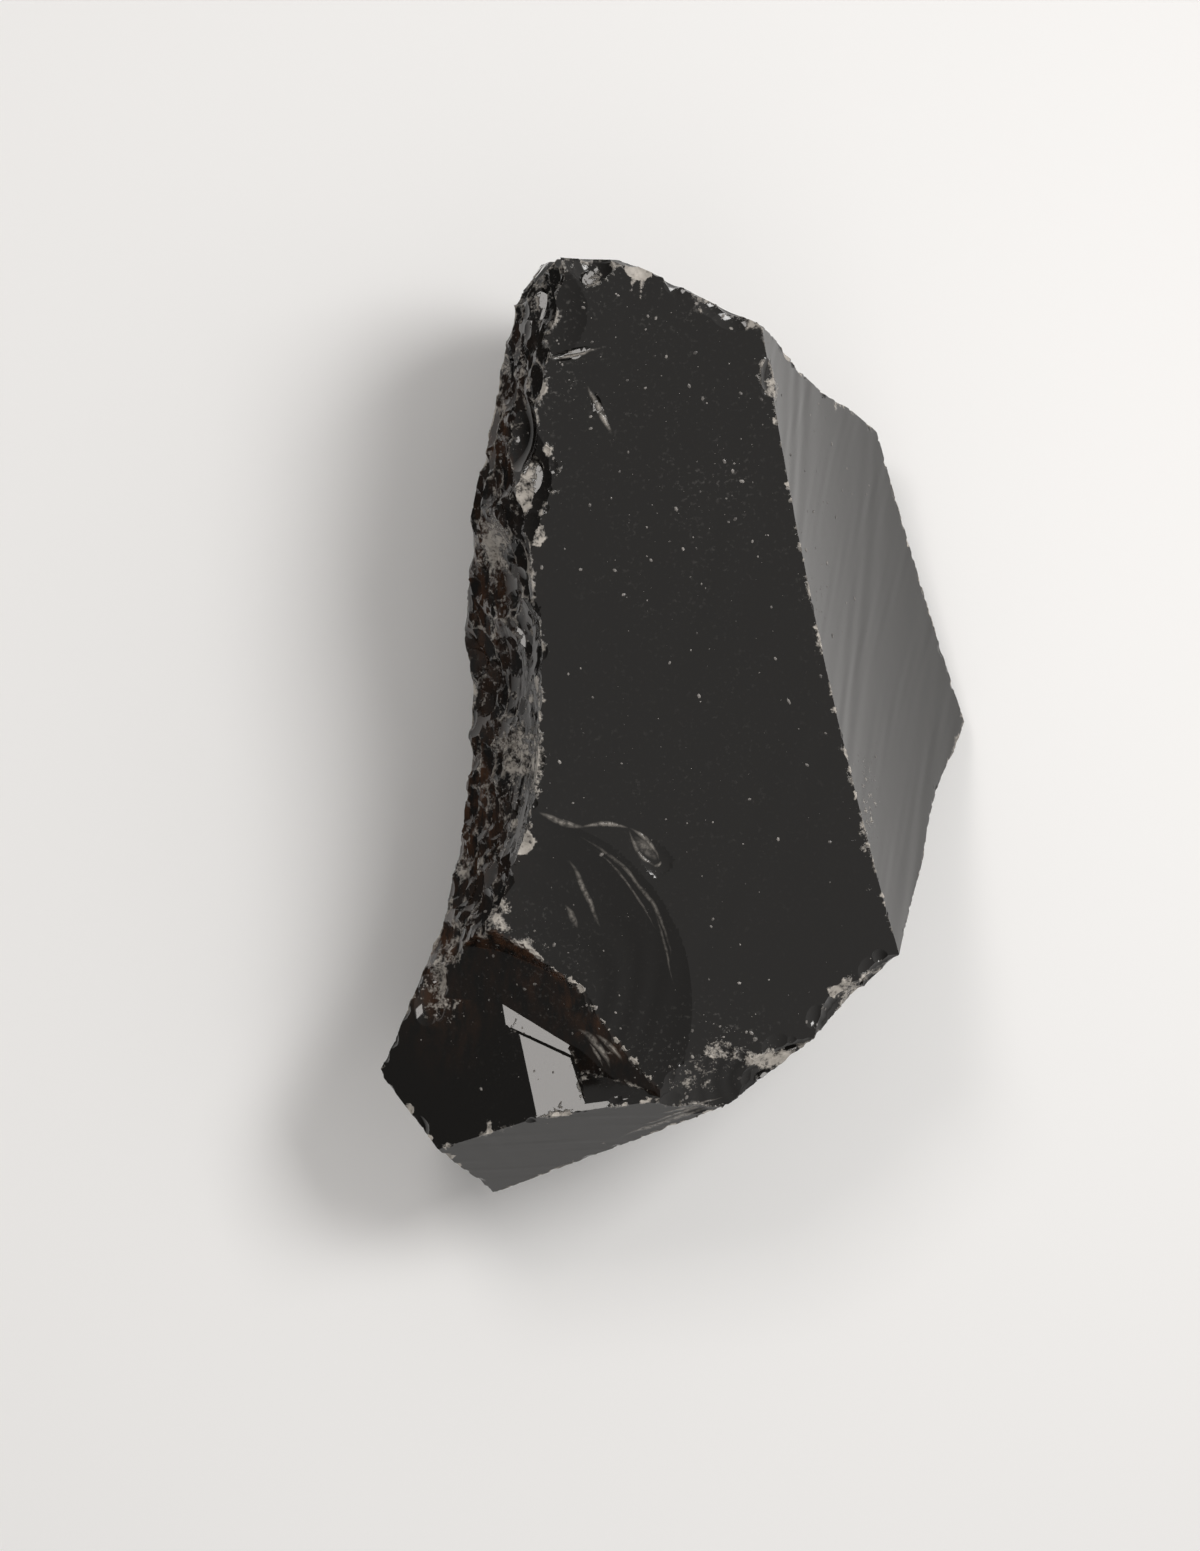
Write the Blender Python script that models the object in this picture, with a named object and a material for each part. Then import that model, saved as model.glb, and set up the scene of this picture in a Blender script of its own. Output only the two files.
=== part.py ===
"""A chunk of obsidian: one struck lump of volcanic glass, lying on its flat back.

Every surface of the chunk is the mark of a blow that took a flake away, and the script does the same.
It starts from a raw block and takes off one flake after another: the big faces, then the scoops, then
the scars, and last the chips along the edges. Each flake is a closed cutter whose inner side is a
shallow dish, and a Boolean takes it away.

Sizes are in millimetres, and become metres where a mesh is made. X runs across the chunk, Y along it,
and Z up from the flat back that it lies on.
"""

import math
import random

import bmesh
import bpy
from mathutils import Matrix, Vector
from mathutils.bvhtree import BVHTree

MM = 0.001  # metres

# ---- driving dimensions, in millimetres --------------------------------------------------------
THICKNESS = 16.8  # from the flat back to the broad front face, over the origin
BLOCK_SIZE = (36.0, 52.0, 24.0)  # the raw block
BLOCK_MIDDLE = (0.0, 0.0, 10.0)
FLAT = None  # a face with no hollow
ALONG = (0.0, 1.0, 0.0)
FRONT_WAY = (0.10, -0.10, 1.0)  # the way the broad front face looks

# The big faces: a point, the outward normal, the way it runs, and the radii of its hollow along and
# across that way.
FACES = {
    "front": ((0.0, 0.0, THICKNESS), FRONT_WAY, ALONG, FLAT),
    "flat_back": ((0.0, 0.0, 0.0), (0.0, 0.0, -1.0), ALONG, FLAT),
    "right": ((9.35, 3.5, 8.9), (0.907, 0.175, 0.391), (-0.2, 1.0, 0.0), (300.0, 90.0)),
    "crown": ((-4.5, 21.75, 16.0), (0.03, 1.0, 0.0), (1.0, 0.0, 0.0), FLAT),
    "top": ((0.5, 20.1, 18.6), (0.40, 0.89, -0.13), (1.0, -0.4, 0.0), FLAT),
    "back_right": ((12.1, 6.5, 3.4), (0.78, 0.36, -0.5), ALONG, FLAT),
    "low_right": ((11.35, -6.98, 8.8), (0.8, -0.5, -0.205), ALONG, FLAT),
    "low_side": ((6.2, -15.2, 14.64), (0.66, -0.69, -0.28), ALONG, FLAT),
    "low_back": ((3.0, -18.1, 14.65), (0.52, -0.71, -0.473), ALONG, FLAT),
    "bottom": ((-1.3, -18.1, 15.12), (0.0825, -0.860, 0.503), (1.0, 0.0, 0.0), FLAT),
    "left_up": ((-7.45, 11.0, 18.6), (-0.918, 0.178, 0.355), ALONG, FLAT),
    "back_left_up": ((-9.45, 11.5, 11.5), (-0.9, 0.24, -0.31), ALONG, FLAT),
    "low_left": ((-11.2, -20.2, 7.0), (-0.75, -0.65, -0.12), ALONG, FLAT),
    "top_left": ((-7.2, 20.7, 16.0), (-0.78, 0.62, 0.1), (1.0, 0.0, 0.0), FLAT),
}

# The scoops: the deepest point, the outward normal, the way it runs, and the two radii.
SCOOPS = {
    "left_low": ((-9.8, -7.5, 12.6), (-0.89, 0.25, 0.38), ALONG, (30.0, 60.0)),
    "left_back": ((-11.0, -7.2, 9.4), (-0.93, 0.165, -0.32), ALONG, (38.0, 60.0)),
    "shell": ((-9.0, -13.5, 15.2), FRONT_WAY, ALONG, (38.0, 38.0)),
    "hollow": ((-9.0, -18.0, 11.0), (0.0, 0.0, 1.0), (-0.757, 0.654, 0.0), (13.0, 4.4)),
    "back_shell": ((6.0, 13.0, 2.2), (0.35, 0.45, -0.82), (1.0, 0.0, 0.0), (24.0, 20.0)),
    "under_left": ((-9.0, 1.0, 2.4), (-0.72, 0.05, -0.69), ALONG, (30.0, 22.0)),
    "under_low": ((0.5, -14.0, 4.6), (0.1, -0.75, -0.65), (1.0, 0.0, 0.0), (26.0, 19.0)),
    "top_shell": ((2.7, 16.9, 9.1), (0.40, 0.89, -0.13), (0.0, 0.0, 1.0), (30.0, 22.0)),
    "side_shell": ((10.9, -4.7, 4.1), (0.8, -0.5, -0.205), (0.0, 0.0, 1.0), (24.0, 16.0)),
    "tip_shell": ((-10.8, -19.9, 7.1), (-0.75, -0.65, -0.12), (0.0, 0.0, 1.0), (16.0, 12.0)),
}
# The hollow ends at a wall on its lower side: a point on the wall's rim, and the way the wall looks.
HOLLOW_WALL = ((-1.3, -18.1, 15.4), (-0.16, 0.62, 0.76))

# The scars on the side that faces up: where it is seen from above, the way it looks, the radius and
# the depth of its dish, the way it runs, and how many times longer than wide it is.
SCARS = {
    "corner_scar": ((-5.9, 19.5), (-0.10, 0.10, 1.0), 7.0, 0.2, ALONG, 1.0),
    "corner_chip": ((-4.5, 20.9), (0.1, 0.5, 0.8), 1.2, 0.25, ALONG, 1.0),
    "corner_edge": ((-7.0, 19.6), (-0.7, 0.2, 0.7), 2.2, 0.45, ALONG, 1.4),
    "sliver": ((-4.1, 14.8), (0.3, -0.1, 0.9), 0.6, 0.12, (0.25, 1.0, 0.0), 3.0),
    "pit": ((-8.0, 13.7), (-0.55, 0.0, 0.83), 0.9, 0.95, ALONG, 1.35),
    "gray_patch": ((-7.1, 11.6), (-0.5, -0.1, 0.85), 2.4, 0.55, ALONG, 1.3),
    "black_scar": ((-8.5, 9.0), (-0.5, 0.1, 0.85), 3.6, 0.75, ALONG, 1.2),
    "edge_scar": ((-8.9, 6.6), (-0.75, -0.1, 0.6), 2.4, 0.7, ALONG, 1.3),
    "crescent": ((-8.3, 4.1), (-0.45, -0.2, 0.85), 1.5, 0.5, ALONG, 1.3),
    "side_notch": ((-9.6, 1.2), (-0.93, 0.1, 0.2), 2.6, 0.8, ALONG, 1.2),
    "mottle": ((-8.9, 1.3), (-0.6, 0.1, 0.75), 2.4, 0.6, ALONG, 1.3),
    "crushed": ((-8.5, -2.0), (-0.65, 0.1, 0.72), 3.0, 0.45, ALONG, 2.0),
    "grey_scar": ((0.9, -17.4), (0.2, -0.35, 0.9), 5.0, 0.55, (1.0, 0.0, 0.0), 1.2),
    "low_notch": ((3.4, -17.3), (0.3, -0.8, 0.5), 1.6, 0.5, (1.0, 0.0, 0.0), 1.0),
    "thin_edge": ((4.6, -16.3), (0.3, -0.6, 0.7), 2.4, 0.5, (1.0, 0.5, 0.0), 1.8),
    "low_chip": ((7.5, -13.5), (0.5, -0.55, 0.6), 1.9, 0.5, (0.6, 0.7, 0.0), 1.2),
    "side_chip": ((9.2, -12.1), (0.5, -0.5, 0.6), 1.4, 0.4, (0.6, 0.7, 0.0), 1.2),
    "leaf": ((-1.6, -6.2), (0.1, -0.1, 1.0), 0.9, 0.15, (0.66, -0.75, 0.0), 2.6),
    "ridge_nick": ((4.1, 16.1), (0.55, 0.1, 0.8), 0.8, 0.3, ALONG, 1.2),
}

# The chips along the edges: how many, the shortest gap between two, and the ranges of the radius
# and the depth of their dishes.
CHIP_COUNT = 90
CHIP_GAP = 1.1
CHIP_RADIUS = (0.7, 2.2)
CHIP_DEPTH = (0.12, 0.36)
CHIP_RATIO = (0.8, 1.6)  # how many times longer than wide
CHIP_STRAY = 0.4  # how far a chip may slide along its edge
CHIP_SWAY = 0.35  # how far its look may turn from the edge's own
CHIP_SEED = 11
SHARP_EDGE = math.radians(35)
CRISP_RIDGE = ("front", "right")  # the long ridge between these faces keeps its line
RIDGE_CLEARANCE = 0.8

# ---- how finely the dishes are made -------------------------------------------------------------
FLAKE_REACH = 34.0  # half the side of a big flake's cutter
FLAKE_DEPTH = 40.0  # how far a big flake's cutter runs outwards
DISH_CELL = 1.7  # the grid of a hollowed face
SCAR_RINGS = 4
SCAR_SIDES = 16
CHIP_RINGS = 2
CHIP_SIDES = 9
SCAR_MARGIN = 1.5  # a scar's cutter is this many times wider than the scar
OUTWARD = 6.0  # how far a scar's cutter runs outwards

OBSIDIAN_COLOUR = (0.006, 0.0055, 0.005, 1.0)
OBSIDIAN_ROUGHNESS = 0.08


def clear_scene():
    for thing in list(bpy.data.objects):
        bpy.data.objects.remove(thing, do_unlink=True)


def obsidian_material():
    material = bpy.data.materials.new("obsidian")
    material.use_nodes = True
    shader = material.node_tree.nodes["Principled BSDF"]
    shader.inputs["Base Color"].default_value = OBSIDIAN_COLOUR
    shader.inputs["Roughness"].default_value = OBSIDIAN_ROUGHNESS
    shader.inputs["Metallic"].default_value = 0.0
    return material


def frame_on(point, normal, along):
    """The dish's own axes as a matrix: X the way it runs, Z outwards, its deepest point at the origin."""
    out = Vector(normal).normalized()
    run = Vector(along)
    run = (run - out * run.dot(out)).normalized()
    across = out.cross(run)
    turn = Matrix((run, across, out)).transposed().to_4x4()
    return Matrix.Translation(Vector(point)) @ turn


def dish_height(u, v, radii):
    if radii is FLAT:
        return 0.0
    return u * u / (2 * radii[0]) + v * v / (2 * radii[1])


def cutter_object(name, shape):
    """A hidden cutter from a bmesh in millimetres."""
    bmesh.ops.scale(shape, vec=(MM, MM, MM), verts=shape.verts)
    bmesh.ops.recalc_face_normals(shape, faces=shape.faces)
    mesh = bpy.data.meshes.new(name)
    shape.to_mesh(mesh)
    shape.free()
    cutter = bpy.data.objects.new(name, mesh)
    bpy.context.scene.collection.objects.link(cutter)
    cutter.hide_render = True
    cutter.display_type = "WIRE"
    return cutter


def pull_outwards(shape, distance):
    """Closes an open dish into a solid by drawing its faces straight out along its own Z."""
    drawn = bmesh.ops.extrude_face_region(shape, geom=shape.faces[:], use_keep_orig=True)
    top = [part for part in drawn["geom"] if isinstance(part, bmesh.types.BMVert)]
    for vertex in top:
        vertex.co.z = distance


def flake(name, point, normal, along, radii, wall=None):
    """The cutter of a big face or a scoop: a square dish, and all that lies outside it."""
    cells = 1 if radii is FLAT else math.ceil(2 * FLAKE_REACH / DISH_CELL)
    shape = bmesh.new()
    bmesh.ops.create_grid(shape, x_segments=cells, y_segments=cells, size=FLAKE_REACH)
    for vertex in shape.verts:
        vertex.co.z = dish_height(vertex.co.x, vertex.co.y, radii)
    highest = max(vertex.co.z for vertex in shape.verts)
    pull_outwards(shape, highest + FLAKE_DEPTH)
    bmesh.ops.transform(shape, matrix=frame_on(point, normal, along), verts=shape.verts)
    if wall:
        keep_one_side(shape, *wall)
    return cutter_object(name, shape)


def keep_one_side(shape, point, normal):
    """Cuts a closed shape at a plane, and keeps what the normal points to."""
    everything = shape.verts[:] + shape.edges[:] + shape.faces[:]
    cut = bmesh.ops.bisect_plane(
        shape, geom=everything, plane_co=point, plane_no=normal, clear_inner=True
    )
    rim = [part for part in cut["geom_cut"] if isinstance(part, bmesh.types.BMEdge)]
    bmesh.ops.edgenet_fill(shape, edges=rim)


def scar(name, point, normal, along, radius, depth, length_ratio, rings, sides):
    """The cutter of a scar or chip: a round dish of rings, cut `depth` deep at the point."""
    shape = bmesh.new()
    reach = SCAR_MARGIN * math.sqrt(2 * radius * depth)
    middle = shape.verts.new((0.0, 0.0, 0.0))
    previous = None
    for ring in range(1, rings + 1):
        r = reach * ring / rings
        circle = []
        for side in range(sides):
            angle = math.tau * side / sides
            x = r * length_ratio * math.cos(angle)
            y = r * math.sin(angle)
            circle.append(shape.verts.new((x, y, r * r / (2 * radius))))
        for side in range(sides):
            after = (side + 1) % sides
            if previous is None:
                shape.faces.new((middle, circle[side], circle[after]))
            else:
                shape.faces.new((previous[side], circle[side], circle[after], previous[after]))
        previous = circle
    pull_outwards(shape, previous[0].co.z + OUTWARD)
    place = frame_on(point, normal, along)
    place = place @ Matrix.Translation((0.0, 0.0, -depth))
    bmesh.ops.transform(shape, matrix=place, verts=shape.verts)
    return cutter_object(name, shape)


def strike(chunk, cutters):
    """Takes the cutters away from the chunk and keeps the result as its mesh."""
    for cutter in cutters:
        cut = chunk.modifiers.new(cutter.name, "BOOLEAN")
        cut.operation = "DIFFERENCE"
        cut.solver = "EXACT"
        cut.object = cutter
    graph = bpy.context.evaluated_depsgraph_get()
    struck = bpy.data.meshes.new_from_object(chunk.evaluated_get(graph))
    chunk.modifiers.clear()
    chunk.data = struck
    for cutter in cutters:
        bpy.data.objects.remove(cutter, do_unlink=True)


def raw_block():
    shape = bmesh.new()
    bmesh.ops.create_cube(shape, size=1.0)
    bmesh.ops.scale(shape, vec=BLOCK_SIZE, verts=shape.verts)
    bmesh.ops.translate(shape, vec=BLOCK_MIDDLE, verts=shape.verts)
    bmesh.ops.scale(shape, vec=(MM, MM, MM), verts=shape.verts)
    mesh = bpy.data.meshes.new("obsidian_chunk")
    shape.to_mesh(mesh)
    shape.free()
    chunk = bpy.data.objects.new("obsidian_chunk", mesh)
    bpy.context.scene.collection.objects.link(chunk)
    return chunk


def surface_below(chunk, x, y):
    """The point of the chunk, in millimetres, that is seen from straight above."""
    shape = bmesh.new()
    shape.from_mesh(chunk.data)
    tree = BVHTree.FromBMesh(shape)
    shape.free()
    hit = tree.ray_cast(Vector((x * MM, y * MM, 1.0)), Vector((0.0, 0.0, -1.0)))[0]
    if hit is None:
        return None
    return hit / MM


def take_scars(chunk):
    cutters = []
    for name, (place, look, radius, depth, along, ratio) in SCARS.items():
        point = surface_below(chunk, *place)
        if point is None:
            raise ValueError("no surface under the scar " + name)
        cutters.append(scar(name, point, look, along, radius, depth, ratio, SCAR_RINGS, SCAR_SIDES))
    strike(chunk, cutters)


def on_the_ridge(point):
    """Whether a point lies on the long crisp ridge that two of the faces make."""
    for name in CRISP_RIDGE:
        middle, normal, along, radii = FACES[name]
        local = frame_on(middle, normal, along).inverted() @ point
        if abs(local.z - dish_height(local.x, local.y, radii)) > RIDGE_CLEARANCE:
            return False
    return True


def sharp_places(chunk):
    """Points along the sharp outward edges, in millimetres, each with the way the edge looks."""
    shape = bmesh.new()
    shape.from_mesh(chunk.data)
    bmesh.ops.dissolve_limit(
        shape, angle_limit=math.radians(1), verts=shape.verts[:], edges=shape.edges[:]
    )
    places = []
    for edge in shape.edges:
        if not edge.is_convex or edge.calc_face_angle(0.0) < SHARP_EDGE:
            continue
        start = edge.verts[0].co / MM
        end = edge.verts[1].co / MM
        look = (edge.link_faces[0].normal + edge.link_faces[1].normal).normalized()
        steps = max(1, round((end - start).length / CHIP_GAP))
        for step in range(steps):
            point = start.lerp(end, (step + 0.5) / steps)
            if not on_the_ridge(point):
                places.append((point, look, (end - start).normalized()))
    shape.free()
    return places


def is_closed(mesh):
    shape = bmesh.new()
    shape.from_mesh(mesh)
    closed = all(edge.is_manifold for edge in shape.edges)
    shape.free()
    return closed


def take_chips(chunk):
    dice = random.Random(CHIP_SEED)
    places = sharp_places(chunk)
    dice.shuffle(places)
    taken = []
    for point, look, run in places:
        if len(taken) == CHIP_COUNT:
            break
        point = point + run * dice.uniform(-CHIP_STRAY, CHIP_STRAY)
        if any((point - other).length < CHIP_GAP for other in taken):
            continue
        radius = dice.uniform(*CHIP_RADIUS)
        depth = dice.uniform(*CHIP_DEPTH)
        sway = Vector([dice.uniform(-CHIP_SWAY, CHIP_SWAY) for _ in range(3)])
        ratio = dice.uniform(*CHIP_RATIO)
        name = f"chip_{len(taken) + 1}"
        cutter = scar(name, point, look + sway, run, radius, depth, ratio, CHIP_RINGS, CHIP_SIDES)
        before = chunk.data
        strike(chunk, [cutter])
        if is_closed(chunk.data):
            taken.append(point)
        else:
            chunk.data = before


def stand_on_origin(chunk):
    """Moves the mesh so that the middle of its lowest level is the origin."""
    points = [vertex.co for vertex in chunk.data.vertices]
    low = [min(point[axis] for point in points) for axis in range(3)]
    high = [max(point[axis] for point in points) for axis in range(3)]
    shift = Vector((-(low[0] + high[0]) / 2, -(low[1] + high[1]) / 2, -low[2]))
    chunk.data.transform(Matrix.Translation(shift))


def obsidian_chunk():
    chunk = raw_block()
    strike(chunk, [flake(name, *face) for name, face in FACES.items()])
    scoops = []
    for name, scoop in SCOOPS.items():
        wall = HOLLOW_WALL if name == "hollow" else None
        scoops.append(flake(name, *scoop, wall=wall))
    strike(chunk, scoops)
    take_scars(chunk)
    take_chips(chunk)
    stand_on_origin(chunk)
    chunk.data.materials.clear()
    chunk.data.materials.append(obsidian_material())
    return chunk


def main():
    clear_scene()
    obsidian_chunk()


main()
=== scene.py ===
import math
import random

import bmesh
import bpy
import numpy as np
from mathutils import Matrix, Vector


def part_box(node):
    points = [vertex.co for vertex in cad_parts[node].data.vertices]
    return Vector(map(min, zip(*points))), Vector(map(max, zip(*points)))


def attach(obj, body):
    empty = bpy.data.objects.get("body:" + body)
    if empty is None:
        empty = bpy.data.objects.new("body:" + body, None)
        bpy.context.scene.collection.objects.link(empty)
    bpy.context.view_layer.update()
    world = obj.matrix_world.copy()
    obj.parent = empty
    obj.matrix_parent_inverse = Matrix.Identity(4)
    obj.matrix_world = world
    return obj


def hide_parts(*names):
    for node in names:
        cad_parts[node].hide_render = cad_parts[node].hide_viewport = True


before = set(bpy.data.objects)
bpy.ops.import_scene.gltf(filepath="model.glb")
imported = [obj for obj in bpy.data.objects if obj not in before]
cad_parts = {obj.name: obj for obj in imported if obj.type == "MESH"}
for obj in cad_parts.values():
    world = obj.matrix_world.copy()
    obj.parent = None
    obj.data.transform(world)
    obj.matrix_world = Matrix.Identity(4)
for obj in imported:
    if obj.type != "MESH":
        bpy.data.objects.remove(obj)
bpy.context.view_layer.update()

MM = 0.001  # metres; sizes below are in millimetres
NODE = "obsidian_chunk"

# ---- the big marks, much as in the solid ----------------------------------------------------------
THICKNESS = 16.8
FLAT = None
ALONG = (0.0, 1.0, 0.0)
FRONT_WAY = (0.10, -0.10, 1.0)

# A point, the outward normal, the way it runs, and the radii of its hollow along and across that way.
FACES = {
    "front": ((0.0, 0.0, THICKNESS), FRONT_WAY, ALONG, FLAT),
    "flat_back": ((0.0, 0.0, 0.0), (0.0, 0.0, -1.0), ALONG, FLAT),
    "right": ((9.35, 3.5, 8.9), (0.907, 0.175, 0.391), (0.16, 1.0, 0.0), (300.0, 90.0)),
    "crown": ((-4.5, 21.75, 16.0), (0.03, 1.0, 0.0), (1.0, 0.0, 0.0), FLAT),
    "top": ((0.5, 20.1, 18.6), (0.40, 0.89, -0.13), (1.0, -0.4, 0.0), FLAT),
    "back_right": ((12.1, 6.5, 3.4), (0.78, 0.36, -0.5), ALONG, FLAT),
    "low_right": ((11.35, -6.98, 8.8), (0.8, -0.5, -0.205), ALONG, FLAT),
    "low_side": ((6.2, -15.2, 14.64), (0.66, -0.69, -0.28), ALONG, FLAT),
    "low_back": ((3.0, -18.1, 14.65), (0.52, -0.71, -0.473), ALONG, FLAT),
    "bottom": ((-1.3, -18.1, 15.12), (0.0825, -0.860, 0.503), (1.0, 0.0, 0.0), FLAT),
    "left_up": ((-7.76, 11.0, 18.6), (-0.918, 0.13, 0.355), ALONG, FLAT),
    "back_left_up": ((-9.45, 11.5, 11.5), (-0.9, 0.24, -0.31), ALONG, FLAT),
    "low_left": ((-11.2, -20.2, 7.0), (-0.75, -0.65, -0.12), ALONG, FLAT),
    "top_left": ((-7.2, 20.7, 16.0), (-0.78, 0.62, 0.1), (1.0, 0.0, 0.0), FLAT),
}
SCOOPS = {
    "left_low": ((-9.8, -7.5, 12.6), (-0.89, 0.25, 0.38), ALONG, (30.0, 60.0)),
    "left_back": ((-11.0, -7.2, 9.4), (-0.93, 0.165, -0.32), ALONG, (38.0, 60.0)),
    "shell": ((-9.0, -13.5, 15.2), FRONT_WAY, ALONG, (38.0, 38.0)),
    "hollow": ((-9.0, -18.0, 6.4), (0.0, 0.0, 1.0), (-0.757, 0.654, 0.0), (7.1, 2.4)),
    "back_shell": ((6.0, 13.0, 2.2), (0.35, 0.45, -0.82), (1.0, 0.0, 0.0), (24.0, 20.0)),
    "under_left": ((-9.0, 1.0, 2.4), (-0.72, 0.05, -0.69), ALONG, (30.0, 22.0)),
    "under_low": ((0.5, -14.0, 4.6), (0.1, -0.75, -0.65), (1.0, 0.0, 0.0), (26.0, 19.0)),
    "top_shell": ((2.7, 16.9, 9.1), (0.40, 0.89, -0.13), (0.0, 0.0, 1.0), (30.0, 22.0)),
    "side_shell": ((10.9, -4.7, 4.1), (0.8, -0.5, -0.205), (0.0, 0.0, 1.0), (24.0, 16.0)),
    "tip_shell": ((-10.8, -19.9, 7.1), (-0.75, -0.65, -0.12), (0.0, 0.0, 1.0), (16.0, 12.0)),
}
# Inside the hollow: a shelf that slopes in from the lower rim, a steep wall to the right of it behind
# the shelf's side, a lower step further in with its own side, a floor that falls away to the left, and
# the brown wall under the upper rim.
HOLLOW_FACETS = {
    "shelf": ((-6.3, -18.25, 14.47), (-0.131, 0.26, 0.957), ALONG, FLAT),
    "hollow_wall": ((-1.3, -18.1, 15.25), (-0.16, 0.62, 0.76), ALONG, FLAT),
    "shelf_side": ((-4.85, -18.0, 14.6), (0.86, 0.384, 0.34), ALONG, FLAT),
    "low_step": ((-6.7, -15.57, 13.47), (-0.125, 0.245, 0.961), ALONG, FLAT),
    "step_side": ((-6.7, -15.57, 13.69), (0.25, 0.83, 0.5), ALONG, FLAT),
    "hollow_floor": ((-7.78, -15.46, 13.51), (-0.42, 0.177, 0.89), ALONG, FLAT),
    "brown_wall": ((-7.0, -14.35, 13.31), (-0.45, -0.36, 0.82), ALONG, FLAT),
}

# Where a scar is seen from above, the way it looks, its dish's radius and depth, the way it runs,
# and how many times longer than wide it is.
SCARS = {
    "corner_scar": ((-5.6, 19.4), (-0.05, -0.12, 1.0), 9.0, 0.18, ALONG, 1.0),
    "corner_chip": ((-4.5, 20.9), (0.1, 0.5, 0.8), 1.2, 0.25, ALONG, 1.0),
    "left_crown": ((-6.6, 21.5), (-0.45, 0.8, 0.35), 2.0, 0.22, (1.0, 0.0, 0.0), 1.0),
    "crown_corner": ((-2.8, 21.6), (0.2, 0.93, 0.3), 3.0, 0.16, (1.0, 0.0, 0.0), 1.4),
    "ridge_top": ((3.7, 18.6), (0.6, 0.75, 0.4), 2.2, 0.2, (0.8, -0.6, 0.0), 1.2),
    "corner_edge": ((-7.2, 19.6), (-0.75, 0.2, 0.65), 2.2, 0.25, ALONG, 1.4),
    "pit": ((-8.0, 13.7), (-0.55, 0.0, 0.83), 0.9, 0.95, ALONG, 1.35),
    "gray_patch": ((-7.1, 11.6), (-0.5, -0.1, 0.85), 2.4, 0.55, ALONG, 1.3),
    "black_scar": ((-7.75, 9.0), (-0.35, 0.05, 0.95), 3.6, 0.36, ALONG, 1.2),
    "edge_scar": ((-8.9, 6.6), (-0.75, -0.1, 0.6), 2.4, 0.7, ALONG, 1.3),
    "crescent": ((-8.3, 4.1), (-0.45, -0.2, 0.85), 1.5, 0.5, ALONG, 1.3),
    "side_notch": ((-9.6, 1.2), (-0.93, 0.1, 0.2), 2.6, 0.8, ALONG, 1.2),
    "mottle": ((-8.9, 1.3), (-0.6, 0.1, 0.75), 2.4, 0.6, ALONG, 1.3),
    "crushed": ((-8.5, -2.0), (-0.65, 0.1, 0.72), 3.0, 0.45, ALONG, 2.0),
    "tip_scar_high": ((-11.3, -11.2), (-0.65, 0.2, 0.72), 1.4, 0.25, ALONG, 1.5),
    "tip_scar": ((-12.0, -13.0), (-0.6, 0.0, 0.8), 1.3, 0.25, ALONG, 1.5),
    "grey_scar": ((0.9, -17.4), (0.2, -0.35, 0.9), 5.0, 0.55, (1.0, 0.0, 0.0), 1.2),
    "low_notch": ((3.4, -17.3), (0.3, -0.8, 0.5), 1.6, 0.5, (1.0, 0.0, 0.0), 1.0),
    "thin_edge": ((4.6, -16.3), (0.3, -0.6, 0.7), 2.4, 0.5, (1.0, 0.5, 0.0), 1.8),
    "low_chip": ((7.5, -13.5), (0.5, -0.55, 0.6), 1.9, 0.5, (0.6, 0.7, 0.0), 1.2),
    "side_chip": ((9.2, -12.1), (0.5, -0.5, 0.6), 1.4, 0.4, (0.6, 0.7, 0.0), 1.2),
    "leaf": ((-1.95, -6.0), (0.16, -0.16, 1.0), 3.0, 0.02, (0.66, -0.75, 0.0), 2.0),
    "ridge_nick": ((4.1, 16.1), (0.55, 0.1, 0.8), 0.8, 0.3, ALONG, 1.2),
}

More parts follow.
